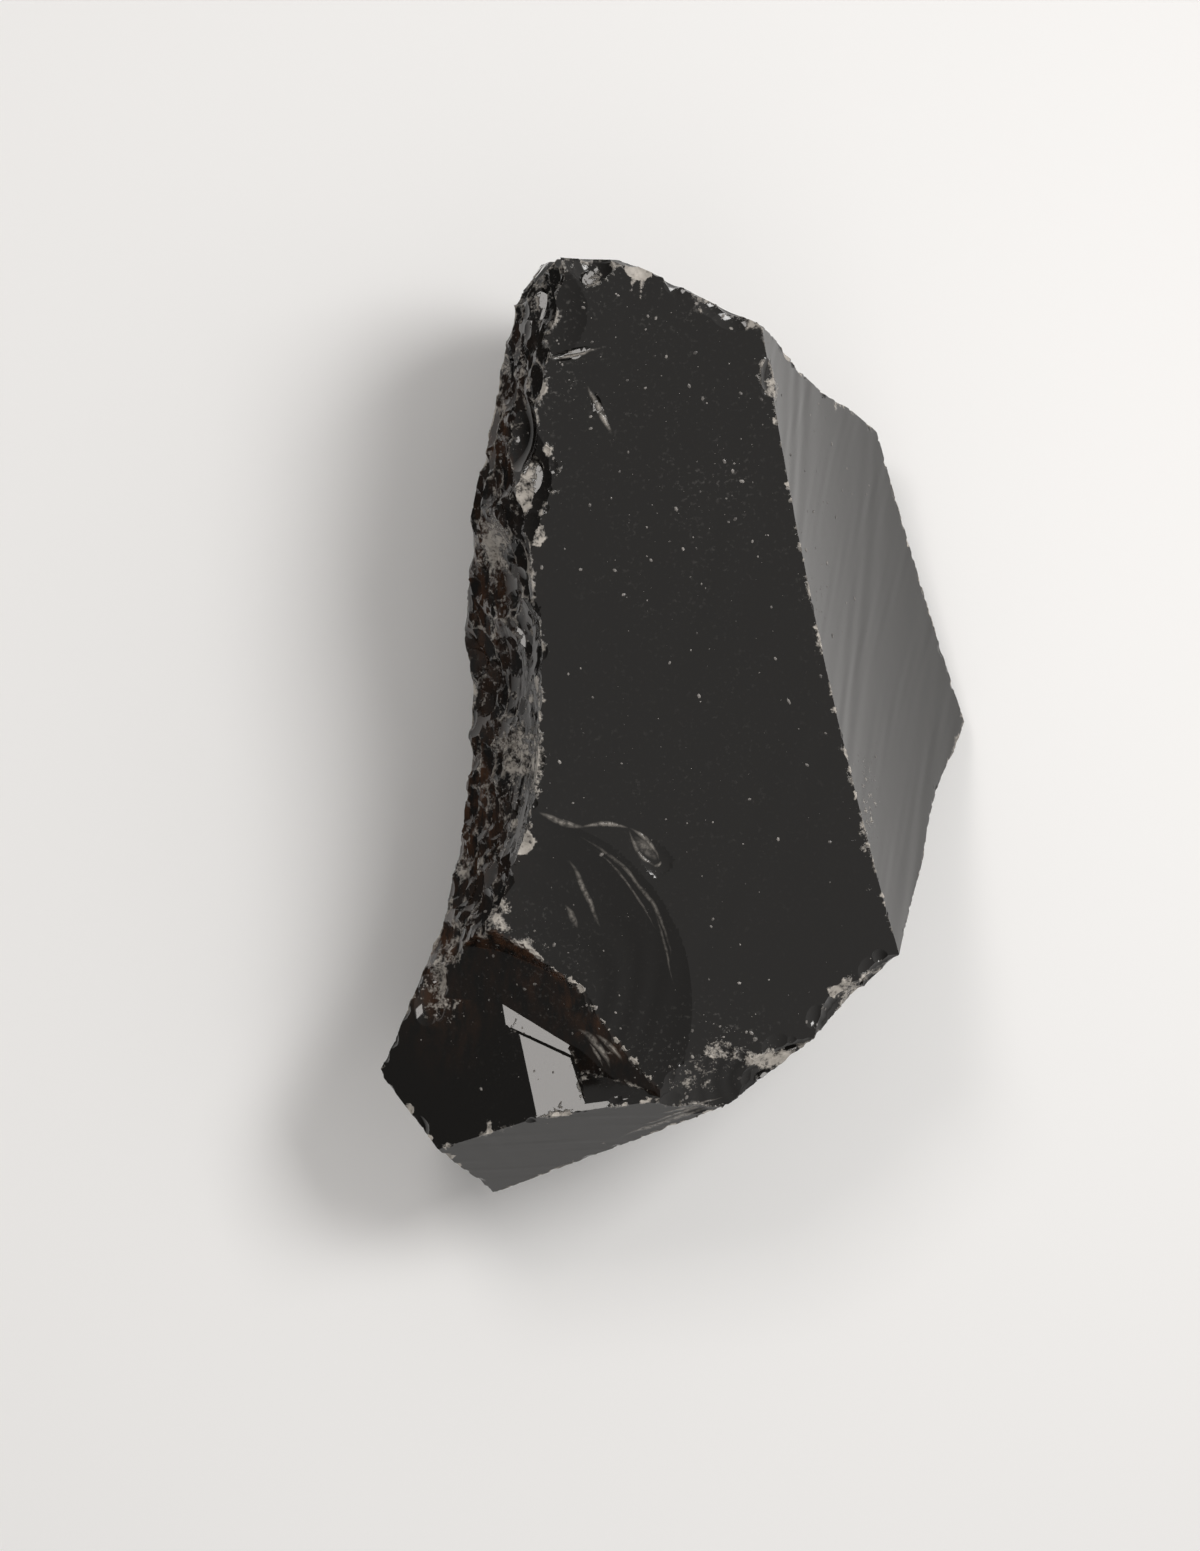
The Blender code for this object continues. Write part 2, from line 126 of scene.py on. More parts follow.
# ---- the finer marks, which only the looks have ----------------------------------------------------
# Rings that spread from where a blow landed: the place of the blow in the dish's own axes, the height
# and the spacing of the rings, and how much the spacing sways.
RIPPLES = {
    "front": ((-4.0, 60.0), 0.004, 5.5, 0.5),
    "right": ((21.0, 34.0), 0.010, 2.7, 0.5),
    "flat_back": ((14.0, 2.0), 0.030, 2.3, 0.4),
    "top": ((0.0, 9.0), 0.012, 1.7, 0.4),
    "top_shell": ((7.0, 1.0), 0.022, 1.3, 0.4),
    "back_right": ((18.0, 0.0), 0.014, 1.6, 0.4),
    "back_shell": ((0.5, 6.5), 0.022, 1.1, 0.4),
    "low_right": ((9.0, 2.0), 0.014, 1.5, 0.4),
    "side_shell": ((7.0, 0.5), 0.022, 1.1, 0.4),
    "low_side": ((2.0, 9.0), 0.014, 1.5, 0.4),
    "low_back": ((2.0, 12.0), 0.016, 1.7, 0.4),
    "under_low": ((0.5, 7.5), 0.024, 1.2, 0.4),
    "bottom": ((9.0, 1.0), 0.003, 1.6, 0.4),
    "back_left_up": ((14.0, 1.0), 0.014, 1.5, 0.4),
    "under_left": ((9.0, 0.5), 0.024, 1.3, 0.4),
    "left_back": ((12.0, 0.0), 0.016, 1.4, 0.4),
    "low_left": ((6.0, 1.0), 0.014, 1.2, 0.4),
    "tip_shell": ((5.0, 0.5), 0.020, 0.9, 0.4),
    "left_low": ((14.0, 1.0), 0.012, 1.5, 0.4),
    "left_up": ((10.0, 0.0), 0.012, 1.2, 0.4),
    "shell": ((0.5, -0.4), 0.016, 1.7, 0.5),
    "hollow": ((-3.0, 3.0), 0.010, 1.5, 0.4),
    "corner_scar": ((2.5, 0.0), 0.006, 0.8, 0.4),
    "black_scar": ((2.4, 0.0), 0.010, 0.8, 0.4),
    "edge_scar": ((2.0, 0.0), 0.012, 0.6, 0.4),
    "crescent": ((1.2, 0.0), 0.010, 0.45, 0.4),
    "grey_scar": ((2.6, 0.0), 0.012, 0.7, 0.4),
    "thin_edge": ((2.0, 0.0), 0.012, 0.5, 0.4),
    "low_chip": ((1.6, 0.0), 0.012, 0.5, 0.4),
}
# Hackles, the fine streaks that run away from the blow: their height, how many to a millimetre, and
# how far they lean from the way the dish runs.
HACKLES = {
    "right": (0.0036, 0.40, 0.63),
    "left_low": (0.020, 1.1, 0.0),
    "left_up": (0.012, 0.9, 0.0),
    "left_back": (0.020, 1.0, 0.2),
    "crushed": (0.030, 1.6, 0.0),
    "mottle": (0.024, 1.5, 0.0),
    "bottom": (0.002, 0.9, 0.0),
    "low_left": (0.015, 1.1, 0.3),
}

# Where the glass is crushed white, or thin enough to show brown: the middle, the radius across and
# along, and the strength.
CRUSHED_SPOTS = (
    ((-9.4, 7.9, 14.5), 1.2, 2.2, 1.05),
    ((-8.2, 4.6, 17.0), 0.6, 0.9, 0.9),
    ((-8.3, -1.6, 15.0), 1.4, 2.4, 1.0),
    ((-7.3, -1.9, 16.8), 0.7, 2.0, 1.1),
    ((-9.3, 2.0, 14.5), 1.2, 1.6, 0.55),
    ((-7.1, 19.8, 17.8), 0.5, 1.4, 0.85),
    ((-8.3, 15.6, 16.5), 0.7, 1.0, 0.55),
    ((-7.3, 11.6, 17.5), 0.5, 0.9, 0.75),
    ((-8.3, 13.7, 17.4), 1.3, 1.7, 0.5),
    ((-9.0, -9.5, 15.5), 0.9, 1.4, 0.7),
    ((-8.2, -10.9, 15.8), 1.4, 0.6, 0.95),
    ((-11.7, -12.6, 12.3), 1.1, 2.2, 0.80),
    ((-11.0, -11.0, 13.5), 0.8, 1.0, 0.6),
    ((4.6, -16.2, 15.0), 2.6, 0.6, 1.0),
    ((2.2, -16.0, 16.0), 1.2, 0.6, 0.75),
    ((0.6, -17.0, 15.2), 1.8, 1.2, 0.5),
    ((8.2, -12.9, 14.6), 1.3, 1.3, 0.5),
    ((4.2, 15.8, 18.0), 0.45, 0.8, 1.1),
    ((8.8, -4.3, 15.2), 0.8, 4.5, 0.40),
    ((6.3, 6.0, 16.6), 0.5, 6.0, 0.22),
    ((-4.2, 20.8, 19.2), 0.4, 0.4, 0.8),
)
BROWN_SPOTS = (
    ((-10.2, -4.0, 11.0), 1.9, 5.0, 1.0),
    ((-9.6, 5.5, 13.0), 1.6, 5.5, 0.9),
    ((-9.0, 13.0, 15.0), 1.4, 3.0, 0.7),
    ((-8.0, 17.0, 16.0), 1.0, 3.0, 0.5),
    ((-11.5, -11.5, 11.0), 1.8, 3.0, 1.0),
)
# The same for the hollow: how brown its walls are all over, and the spots along its rim.
BROWN_WALLS = {"brown_wall": 0.14, "hollow": 1.0}
BROWN_RIM = (
    ((-7.0, -12.5, 14.8), 0.9, 0.7, 0.6),
    ((-5.6, -13.4, 14.8), 0.9, 0.7, 0.7),
    ((-4.3, -14.5, 14.8), 0.8, 0.8, 0.7),
    ((-3.2, -15.7, 14.8), 0.6, 0.8, 0.6),
)

# Small flat facets that catch the small window, each the floor of a steep little bowl: where it is
# seen, the bowl's radius and the facet's depth in its middle, the way it runs, and how many times
# longer than wide it is.
GLINTS = {
    "corner_glint": ((-6.9, 19.6), 0.62, 0.16, (0.3, 1.0, 0.0), 1.4),
    "triangle_glint": ((-4.55, 20.8), 0.36, 0.09, (0.81, 0.59, 0.0), 1.2),
    "lens_glint": ((-5.1, 17.3), 0.25, 0.07, (1.0, 0.2, 0.0), 5.0),
    "sliver_glint": ((-4.15, 14.7), 0.26, 0.07, (-0.25, 1.0, 0.0), 3.0),
    "patch_glint": ((-7.2, 11.6), 0.55, 0.16, (0.1, 1.0, 0.0), 1.5),
    "crescent_glint": ((-7.95, 4.0), 0.55, 0.20, (0.75, -0.65, 0.0), 1.7),
    "thin_glint": ((5.0, -15.75), 0.30, 0.10, (0.9, 0.4, 0.0), 2.6),
    "low_glint": ((8.6, -12.6), 0.30, 0.12, (0.6, 0.7, 0.0), 1.6),
    "notch_glint": ((3.7, -17.0), 0.30, 0.12, (0.9, 0.3, 0.0), 1.5),
}
GLINT_STEEPNESS = 1.0  # the bowl's depth, in radii
STEP_REACH = 1.6  # in radii

ANY = None
# Chips along the edges: for the faces that meet there, the gap between chips, their smallest and
# largest radius on the surface, and the share of them that is crushed white. The first line that
# fits holds.
EDGE_WEAR = (
    ({"leaf", "corner_scar", "pit", *GLINTS}, ANY, 9.0, 0.05, 0.10, 0.0),
    ({"front"}, {"right"}, 0.55, 0.06, 0.20, 0.8),
    ({"front", "crown_corner", "ridge_top"}, {"top", "crown"}, 0.34, 0.22, 0.80, 0.14),
    ({"right"}, {"top", "back_right", "low_right"}, 0.6, 0.07, 0.24, 0.15),
    ({"front", "shell"}, {"left_up", "left_low", "top_left"}, 0.36, 0.12, 0.62, 0.35),
    ({"left_up", "left_low"}, {"back_left_up", "left_back", "low_left"}, 0.45, 0.15, 0.80, 0.3),
    ({"front", "shell"}, {"low_side", "low_back", "low_right"}, 0.40, 0.16, 0.70, 0.40),
    ({"front", "shell", "bottom"}, {"hollow", "brown_wall"}, 0.24, 0.08, 0.28, 0.85),
    ({"bottom"}, {"front", "shell", "hollow_wall", "shelf", "low_back"}, 0.36, 0.07, 0.26, 0.5),
    (ANY, ANY, 0.75, 0.12, 0.50, 0.25),
)
GAP_SWAY = (0.7, 1.3)  # how much the gaps between chips differ
CHIP_DEPTH = (0.14, 0.42)  # of its radius
CHIP_LENGTH = (0.8, 1.4)  # how many times longer than wide
CHIP_LEAN = (0.15, 0.85)  # the share of one face's way in its own, one or the other
CHIP_SWAY = 0.25
CHIP_REACH = 2.2  # in radii
CHIP_WHITE = (0.45, 1.0)
CHIP_SEED = 7
TRIAL_STEP = 0.4  # the grid on which the edges are found

# Flat steps that cover a face: the faces, how many, the smallest and largest radius, and how much
# further up than the face they look.
PITTED = (
    ({"left_up", "left_low", "top_left", "side_notch", "corner_edge"}, 480, 0.25, 0.95, 0.9),
    ({"mottle", "crushed", "edge_scar", "crescent", "tip_scar", "tip_scar_high"}, 90, 0.20, 0.50, 0.45),
)
PIT_DEPTH = (0.05, 0.25)  # of its radius
PIT_SWAY = 0.30
PIT_TURN = 0.4
PIT_WHITE = (0.2, 0.6)
PIT_WHITE_SHARE = 0.12
PIT_STEEPNESS = 0.55
PIT_AT_FRONT = 0.22  # the largest radius at the front's edge
LEAST_GLINT = 0.985  # the cosine past which a step would catch the small window

# ---- how finely the surface is made ----------------------------------------------------------------
STEP = 0.15  # the grid that the surface is found on
MOST_TRIANGLES = 178_000
BLOCK = 8  # grid cells along the side of a block that is skipped or worked out as a whole
BLOCK_SLACK = 0.6  # how much nearer than it looks the surface may be
CHUNK = 400_000  # points worked out at a time
ROOT_STEPS = 3  # tries to find where an edge of the grid crosses the surface
ROOT_SHARE = (0.03, 0.97)  # how near to its ends each try stays
LOOK_STEP = 0.02  # the steps in which a line straight down looks for the surface
CELL = 1.0  # the side of the cells that small dishes are listed by
SCAR_MARGIN = 2.4  # how far a scar marks the surface, in radii of its rim
REACH_END = 3  # how steeply a small dish ends beyond its reach
NUDGE = 0.004  # the distance that slopes are measured over
SPACE = ((-17.0, -25.0, -1.0), (18.0, 24.5, 21.0))  # a box with room round the whole shape
MOST_ASTRAY = 40  # degrees between a triangle and its dish, beyond which the triangle is taken as flat
EDGE_SHARPNESS = 0.12  # how far the ways round a point differ where its edge counts as fully sharp
EDGE_SPREAD = 3  # how many points away from an edge its wear reaches
EDGE_FADE = 0.3  # the distance over which it falls away
LONGEST_SIDE = 0.5  # longer ones near an edge are split, so that its wear ends close to it
NEAR_EDGE = 0.3  # the closeness to an edge from which that is done
SPLIT_ROUNDS = 2
SPOT_DEPTH = 1.5  # how many times deeper than wide the white, brown and dusty spots are
SPOT_FALL = 1.2  # how fast they fade away from their middle
SHARP_TURN = 22  # degrees between two faces, from which their edge takes chips
LEAST_SLOPE = 0.012  # the share below which a direction is left alone when a corner is placed


def unit(vector):
    vector = np.asarray(vector, float)
    return vector / np.linalg.norm(vector)


# Where each value of a dish is in its row.
POINT = slice(0, 3)
RUN = slice(3, 6)
SIDE = slice(6, 9)
OUT = slice(9, 12)
BEND_U = 12
BEND_V = 13
RING_U = 14
RING_V = 15
RING_HEIGHT = 16
RING_GAP = 17
RING_SWAY = 18
HACKLE_HEIGHT = 19
HACKLE_COUNT = 20
REACH = 21
WHITE = 22
FACET_WAY = slice(23, 26)
FACET_HEIGHT = 26
HACKLE_LEAN = 27


class Dishes:
    """The dishes that the flakes left, a row each: where they are, how they bend, and their fine marks."""

    def __init__(self):
        self.names = []
        self.rows = []
        self.wide = []
        self.table = None

    def add(self, name, point, normal, along, radii, reach=0.0, white=0.0, facet=(0.0,) * 4):
        """Adds a dish. One with a reach is small, and only marks the surface that near to it. A facet
        is the way that a flat floor looks, and how far along that way it is from the point."""
        out = unit(normal)
        run = np.asarray(along, float)
        run = unit(run - out * run.dot(out))
        bends = (0.0, 0.0) if radii is FLAT else tuple(1 / radius if radius else 0.0 for radius in radii)
        (ring_u, ring_v), ring_height, ring_gap, ring_sway = RIPPLES.get(name, ((0, 0), 0, 1, 0))
        hackle_height, hackle_count, hackle_lean = HACKLES.get(name, (0, 1, 0))
        if not reach and name not in HOLLOW_FACETS:
            self.wide.append(len(self.rows))
        self.names.append(name)
        marks = (ring_u, ring_v, ring_height, ring_gap, ring_sway, hackle_height, hackle_count)
        axes = (*run, *np.cross(out, run), *out)
        self.rows.append((*point, *axes, *bends, *marks, reach, white, *facet, hackle_lean))
        self.table = None

    def columns(self, rows):
        if self.table is None:
            self.table = np.array(self.rows, float)
        picked = self.table[rows]
        return picked if picked.ndim == 2 else picked[None]

    def value(self, rows, points):
        """How far each point is above its dish: positive where the flake took the glass away."""
        c = self.columns(rows)
        away = points - c[:, POINT]
        u = (away * c[:, RUN]).sum(1)
        v = (away * c[:, SIDE]).sum(1)
        w = (away * c[:, OUT]).sum(1)
        slope_u = u * c[:, BEND_U]
        slope_v = v * c[:, BEND_V]
        above = w - 0.5 * (slope_u * u + slope_v * v)
        above /= np.sqrt(1 + slope_u * slope_u + slope_v * slope_v)
        if c[:, RING_HEIGHT].any():
            ring = np.hypot(u - c[:, RING_U], v - c[:, RING_V])
            phase = ring / c[:, RING_GAP] + c[:, RING_SWAY] * np.sin(0.35 * u + 0.6 * v + 1.0)
            swell = 0.6 + 0.4 * np.sin(0.83 * ring + 0.31 * v)
            above += c[:, RING_HEIGHT] * swell * np.sin(math.tau * phase)
        if c[:, HACKLE_HEIGHT].any():
            line = (v + c[:, HACKLE_LEAN] * u + 0.12 * np.sin(0.55 * u)) * c[:, HACKLE_COUNT] * math.tau
            streak = np.sin(line + 0.5 * np.sin(0.9 * u)) + 0.6 * np.sin(2.3 * line + 1.1 * u)
            above += c[:, HACKLE_HEIGHT] * streak * (0.5 + 0.5 * np.sin(0.7 * u + 0.37 * line))
        if c[:, REACH].any():
            far = np.sqrt(u * u + v * v) / np.maximum(c[:, REACH], 1e-6) - 1
            above -= np.where(c[:, REACH] > 0, REACH_END * np.maximum(far, 0), 0)
        if c[:, FACET_WAY].any():
            floored = np.abs(c[:, FACET_WAY]).sum(1) > 0
            height = (away * c[:, FACET_WAY]).sum(1) - c[:, FACET_HEIGHT]
            above = np.where(floored, np.minimum(above, height), above)
        return above

    def slope(self, rows, points):
        """The way the glass looks where each point lies on its dish."""
        here = self.value(rows, points)
        slopes = np.empty(points.shape)
        for axis in range(3):
            step = np.zeros(3)
            step[axis] = NUDGE
            slopes[:, axis] = self.value(rows, points + step) - here
        return slopes / np.linalg.norm(slopes, axis=1, keepdims=True)

    def list_small(self, low, high):
        """Lists, for each cell of the space, the small dishes that reach into it."""
        self.cell_low = np.asarray(low) - CELL
        self.cell_count = np.ceil((np.asarray(high) + CELL - self.cell_low) / CELL).astype(int)
        pairs = []
        for row, values in enumerate(self.rows):
            reach = values[REACH]
            if not reach:
                continue
            middle = np.array(values[POINT])
            first = np.floor((middle - reach - self.cell_low) / CELL).astype(int)
            last = np.floor((middle + reach - self.cell_low) / CELL).astype(int)
            first = np.clip(first, 0, self.cell_count - 1)
            last = np.clip(last, 0, self.cell_count - 1)
            for i in range(first[0], last[0] + 1):
                for j in range(first[1], last[1] + 1):
                    for k in range(first[2], last[2] + 1):
                        pairs.append(((i * self.cell_count[1] + j) * self.cell_count[2] + k, row))
        pairs.sort()
        cells = np.array([cell for cell, row in pairs], int)
        self.listed = np.array([row for cell, row in pairs], int)
        every = np.arange(self.cell_count.prod())
        self.first = np.searchsorted(cells, every, "left")
        self.count = np.searchsorted(cells, every, "right") - self.first

    def hollow(self, value, decides, points):
        """The hollow is as wide as its bowl, and no deeper than the facets inside it."""

        def facet(name):
            row = self.names.index(name)
            return self.value(row, points), np.full(len(points), row, np.int32)

        def least(one, other):
            return np.minimum(one[0], other[0]), np.where(one[0] < other[0], one[1], other[1])

        def most(one, other):
            return np.maximum(one[0], other[0]), np.where(one[0] > other[0], one[1], other[1])

        floor = most(facet("shelf"), facet("hollow_floor"))
        floor = most(floor, least(facet("hollow_wall"), facet("shelf_side")))
        floor = most(floor, least(facet("low_step"), facet("step_side")))
        return least(least((value, decides), facet("brown_wall")), floor)

    def carve(self, points):
        """The solid's value at each point, negative inside, and the row of the dish that decides it."""
        parts = [self.carve_some(points[at : at + CHUNK]) for at in range(0, len(points), CHUNK)]
        return np.concatenate([p[0] for p in parts]), np.concatenate([p[1] for p in parts])

    def carve_some(self, points):
        best = np.full(len(points), -1e9)
        who = np.zeros(len(points), np.int32)
        for row in self.wide:
            value = self.value(row, points)
            decides = np.full(len(points), row, np.int32)
            if self.names[row] == "hollow":
                value, decides = self.hollow(value, decides, points)
            wins = value > best
            best[wins] = value[wins]
            who[wins] = decides[wins]
        cell = np.clip(((points - self.cell_low) // CELL).astype(int), 0, self.cell_count - 1)
        cell = (cell[:, 0] * self.cell_count[1] + cell[:, 1]) * self.cell_count[2] + cell[:, 2]
        count = self.count[cell]
        for turn in range(count.max(initial=0)):
            at = np.nonzero(count > turn)[0]
            rows = self.listed[self.first[cell[at]] + turn]
            value = self.value(rows, points[at])
            wins = value > best[at]
            at = at[wins]
            best[at] = value[wins]
            who[at] = rows[wins]
        return best, who


def find_surface(dishes, low, high, step):
    """The closed surface where the solid's value is 0, by dual contouring: a point in each grid cell
    that the surface crosses, put where the faces in it meet, and a quad round each crossed edge."""
    low = np.asarray(low, float)
    blocks = np.ceil((np.asarray(high) - low) / (step * BLOCK)).astype(int)
    centres = np.stack(np.meshgrid(*[np.arange(n) + 0.5 for n in blocks], indexing="ij"), -1)
    value = dishes.carve((low + centres * step * BLOCK).reshape(-1, 3))[0].reshape(blocks)
    active = np.abs(value) < step * BLOCK * math.sqrt(3) / 2 + BLOCK_SLACK
    size = blocks * BLOCK + 1
    values = np.ones(size, np.float32)
    wanted = np.zeros(size, bool)
    filled = np.where(value < 0, -1, 1)
    for axis in range(3):
        filled = np.repeat(filled, BLOCK, axis)
    values[:-1, :-1, :-1] = filled
    for i, j, k in np.argwhere(active):
        at = [slice(n * BLOCK, n * BLOCK + BLOCK + 1) for n in (i, j, k)]
        wanted[tuple(at)] = True
    at = np.argwhere(wanted)
    values[wanted] = dishes.carve(low + at * step)[0]

    inside = values < 0
    cells = size - 1
    crossings = []
    slopes = []
    rows = []
    rounds = []
    for axis in range(3):
        near = [slice(None)] * 3
        far = [slice(None)] * 3
        near[axis] = slice(0, -1)
        far[axis] = slice(1, None)
        at = np.argwhere(inside[tuple(near)] != inside[tuple(far)])
        ahead = np.zeros(3)
        ahead[axis] = step
        start_value = values[tuple(near)][tuple(at.T)].astype(float)
        end_value = values[tuple(far)][tuple(at.T)].astype(float)
        start = np.zeros(len(at))
        end = np.ones(len(at))
        starts_inside = start_value < 0
        origin = low + at * step
        for _ in range(ROOT_STEPS):
            share = np.clip(start_value / (start_value - end_value), *ROOT_SHARE)
            middle = start + (end - start) * share
            found, who = dishes.carve(origin + middle[:, None] * ahead)
            same = (found < 0) == starts_inside
            start = np.where(same, middle, start)
            start_value = np.where(same, found, start_value)
            end = np.where(same, end, middle)
            end_value = np.where(same, end_value, found)
        middle = start + (end - start) * start_value / (start_value - end_value)
        points = origin + middle[:, None] * ahead
        who = dishes.carve(points)[1]
        crossings.append(points)
        rows.append(who)
        slopes.append(dishes.slope(who, points))
        second = (axis + 1) % 3
        third = (axis + 2) % 3
        round_edge = []
        for back_second, back_third in ((0, 0), (1, 0), (1, 1), (0, 1)):
            cell = at.copy()
            cell[:, second] -= back_second
            cell[:, third] -= back_third
            round_edge.append((cell[:, 0] * cells[1] + cell[:, 1]) * cells[2] + cell[:, 2])
        round_edge = np.stack(round_edge, 1)
        rounds.append(np.where(starts_inside[:, None], round_edge, round_edge[:, ::-1]))
    crossings = np.concatenate(crossings)
    slopes = np.concatenate(slopes)
    rows = np.concatenate(rows)
    rounds = np.concatenate(rounds)

    used, quads = np.unique(rounds, return_inverse=True)
    quads = quads.reshape(rounds.shape)
    member = np.repeat(np.arange(len(crossings)), 4)
    cell_of = quads.reshape(-1)
    place = np.stack([used // (cells[1] * cells[2]), used // cells[2] % cells[1], used % cells[2]], 1)
    corner = low + place * step
    points = meeting_points(crossings[member], slopes[member], cell_of, len(used))
    points = np.clip(points, corner, corner + step)
    return points, quads, (cell_of, rows[member], slopes[member])


def meeting_points(crossings, slopes, cell_of, count):
    """For each cell, the point nearest to all the planes that cross its edges."""
    share = np.bincount(cell_of, minlength=count)[:, None]
    mean = np.stack([np.bincount(cell_of, crossings[:, a], count) for a in range(3)], 1) / share
    offset = ((crossings - mean[cell_of]) * slopes).sum(1)
    matrix = np.empty((count, 3, 3))
    target = np.empty((count, 3))
    for a in range(3):
        target[:, a] = np.bincount(cell_of, slopes[:, a] * offset, count)
        for b in range(3):
            matrix[:, a, b] = np.bincount(cell_of, slopes[:, a] * slopes[:, b], count)
    sizes, ways = np.linalg.eigh(matrix)
    strong = sizes > LEAST_SLOPE * sizes[:, 2:]
    inverse = np.where(strong, 1 / np.maximum(sizes, 1e-9), 0)
    return mean + np.einsum("nij,nj,nkj,nk->ni", ways, inverse, ways, target)


# ---- the chunk's own marks --------------------------------------------------------------------------
def big_dishes():
    dishes = Dishes()
    for name, (point, normal, along, radii) in (FACES | SCOOPS | HOLLOW_FACETS).items():
        dishes.add(name, point, normal, along, radii)
    return dishes


def seen_from_above(dishes, x, y):
    """The height at which a line straight down meets the surface."""
    heights = np.arange(2 * THICKNESS, 0, -LOOK_STEP)
    line = np.stack([np.full(len(heights), x), np.full(len(heights), y), heights], 1)
    return heights[np.argmax(dishes.carve(line)[0] < 0)]


def add_scars(dishes):
    heights = {name: seen_from_above(dishes, *scar[0]) for name, scar in SCARS.items()}
    for name, ((x, y), look, radius, depth, along, ratio) in SCARS.items():
        point = np.array([x, y, heights[name]]) - unit(look) * depth
        reach = SCAR_MARGIN * math.sqrt(2 * radius * depth) * ratio
        dishes.add(name, point, look, along, (radius * ratio**2, radius), reach)


def mirror_way(point):
    """The way a facet at this point looks when the small window shows in it from above."""
    window = unit(np.array(LIGHTS["small_window"][0]) - point)
    return unit(window + unit(np.array(AIM) + (0.0, 0.0, CAMERA_DISTANCE) - point))


def add_step(dishes, name, spot, axis, facet_way, sizes, along, ratio, steepness, white=0.0):
    """Adds a small bowl with a flat floor: the bowl's axis, the way the floor looks, the bowl's radius
    and the floor's depth in its middle."""
    radius, depth = sizes
    bend = radius / (2 * steepness)
    bowl = spot - axis * radius * steepness
    facet = (*facet_way, float(facet_way @ (spot - axis * depth - bowl)))
    dishes.add(name, bowl, axis, along, (bend * ratio**2, bend), STEP_REACH * radius * ratio, white, facet)


def add_glints(dishes):
    """Cuts the small facets in which the small window shows."""
    for name, ((x, y), radius, depth, along, ratio) in GLINTS.items():
        spot = np.array([x, y, seen_from_above(dishes, x, y)])
        row = dishes.carve(spot[None])[1]
        axis = dishes.slope(row, spot[None])[0]
        add_step(dishes, name, spot, axis, mirror_way(spot), (radius, depth), along, ratio, GLINT_STEEPNESS)
        dishes.list_small(*SPACE)


def trial_surface(dishes, low, high):
    """A coarse surface: for each of its points, the two faces nearest there and the ways they look."""
    points, _, (cell_of, rows, slopes) = find_surface(dishes, low, high, TRIAL_STEP)
    order = np.lexsort((rows, cell_of))
    cell_of = cell_of[order]
    rows = rows[order]
    slopes = slopes[order]
    first = np.searchsorted(cell_of, np.arange(len(points)), "left")
    last = np.searchsorted(cell_of, np.arange(len(points)), "right") - 1
    return points, rows[first], rows[last], slopes[first], slopes[last]


def wear_between(one, other):
    """How the edge between two faces is worn: the first row that fits them."""
    for some, rest, *wear in EDGE_WEAR:
        for here, there in ((one, other), (other, one)):
            if (some is ANY or here in some) and (rest is ANY or there in rest):
                return wear


def add_chip(dishes, dice, point, look, run, radius, depth, white):
    ratio = dice.uniform(*CHIP_LENGTH)
    bend = radius**2 / (2 * depth)
    reach = CHIP_REACH * radius * ratio
    dishes.add("chip", point - look * depth, look, run, (bend * ratio**2, bend), reach, white)


def add_chips(dishes, dice, surface):
    """Chips the edges where two faces meet sharply, but not those inside the hollow."""
    points, row_a, row_b, way_a, way_b = surface
    sharp = (way_a * way_b).sum(1) < math.cos(math.radians(SHARP_TURN))
    places = np.nonzero((row_a != row_b) & sharp)[0].tolist()
    dice.shuffle(places)
    taken = np.empty((0, 3))
    for at in places:
        pair = (dishes.names[row_a[at]], dishes.names[row_b[at]])
        if all(name == "hollow" or name in HOLLOW_FACETS for name in pair):
            continue
        gap, least, most, white_share = wear_between(*pair)
        point = points[at]
        if len(taken) and np.linalg.norm(taken - point, axis=1).min() < gap * dice.uniform(*GAP_SWAY):
            continue
        taken = np.vstack((taken, point))
        radius = least + (most - least) * dice.random() ** 2
        lean = dice.choice(CHIP_LEAN)
        sway = np.array([dice.uniform(-CHIP_SWAY, CHIP_SWAY) for _ in range(3)])
        look = unit(unit(lean * way_a[at] + (1 - lean) * way_b[at]) + sway)
        run = np.cross(way_a[at], way_b[at])
        white = dice.uniform(*CHIP_WHITE) if dice.random() < white_share else 0.0
        add_chip(dishes, dice, point, look, run, radius, radius * dice.uniform(*CHIP_DEPTH), white)


def add_pits(dishes, dice, surface):
    """Covers the faces that are listed with flat steps, small ones near the front's edge."""
    points, row_a, _, way_a, _ = surface
    names = np.array(dishes.names)[row_a]
    front = [dishes.names.index("front")]
    below_front = -dishes.value(front, points)
    for faces, count, least, most, lift in PITTED:
        places = np.nonzero(np.isin(names, list(faces)))[0].tolist()
        for at in dice.sample(places, min(count, len(places))):
            radius = least + (most - least) * dice.random() ** 2
            radius = min(radius, PIT_AT_FRONT + below_front[at])
            sway = np.array([dice.uniform(-PIT_SWAY, PIT_SWAY) for _ in range(3)])
            run = np.array([dice.uniform(-PIT_TURN, PIT_TURN), 1.0, dice.uniform(-PIT_TURN, PIT_TURN)])
            white = dice.uniform(*PIT_WHITE) if dice.random() < PIT_WHITE_SHARE else 0.0
            look = unit(way_a[at] + sway + (0.0, 0.0, lift))
            if look @ mirror_way(points[at]) > LEAST_GLINT:
                continue
            sizes = (radius, radius * dice.uniform(*PIT_DEPTH))
            axis = unit(look + way_a[at])
            ratio = dice.uniform(*CHIP_LENGTH)
            add_step(dishes, "pit_step", points[at], axis, look, sizes, run, ratio, PIT_STEEPNESS, white)


def solid_box():
    """The lowest and the highest corner of the solid's box."""
    return [np.array(corner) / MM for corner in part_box(NODE)]


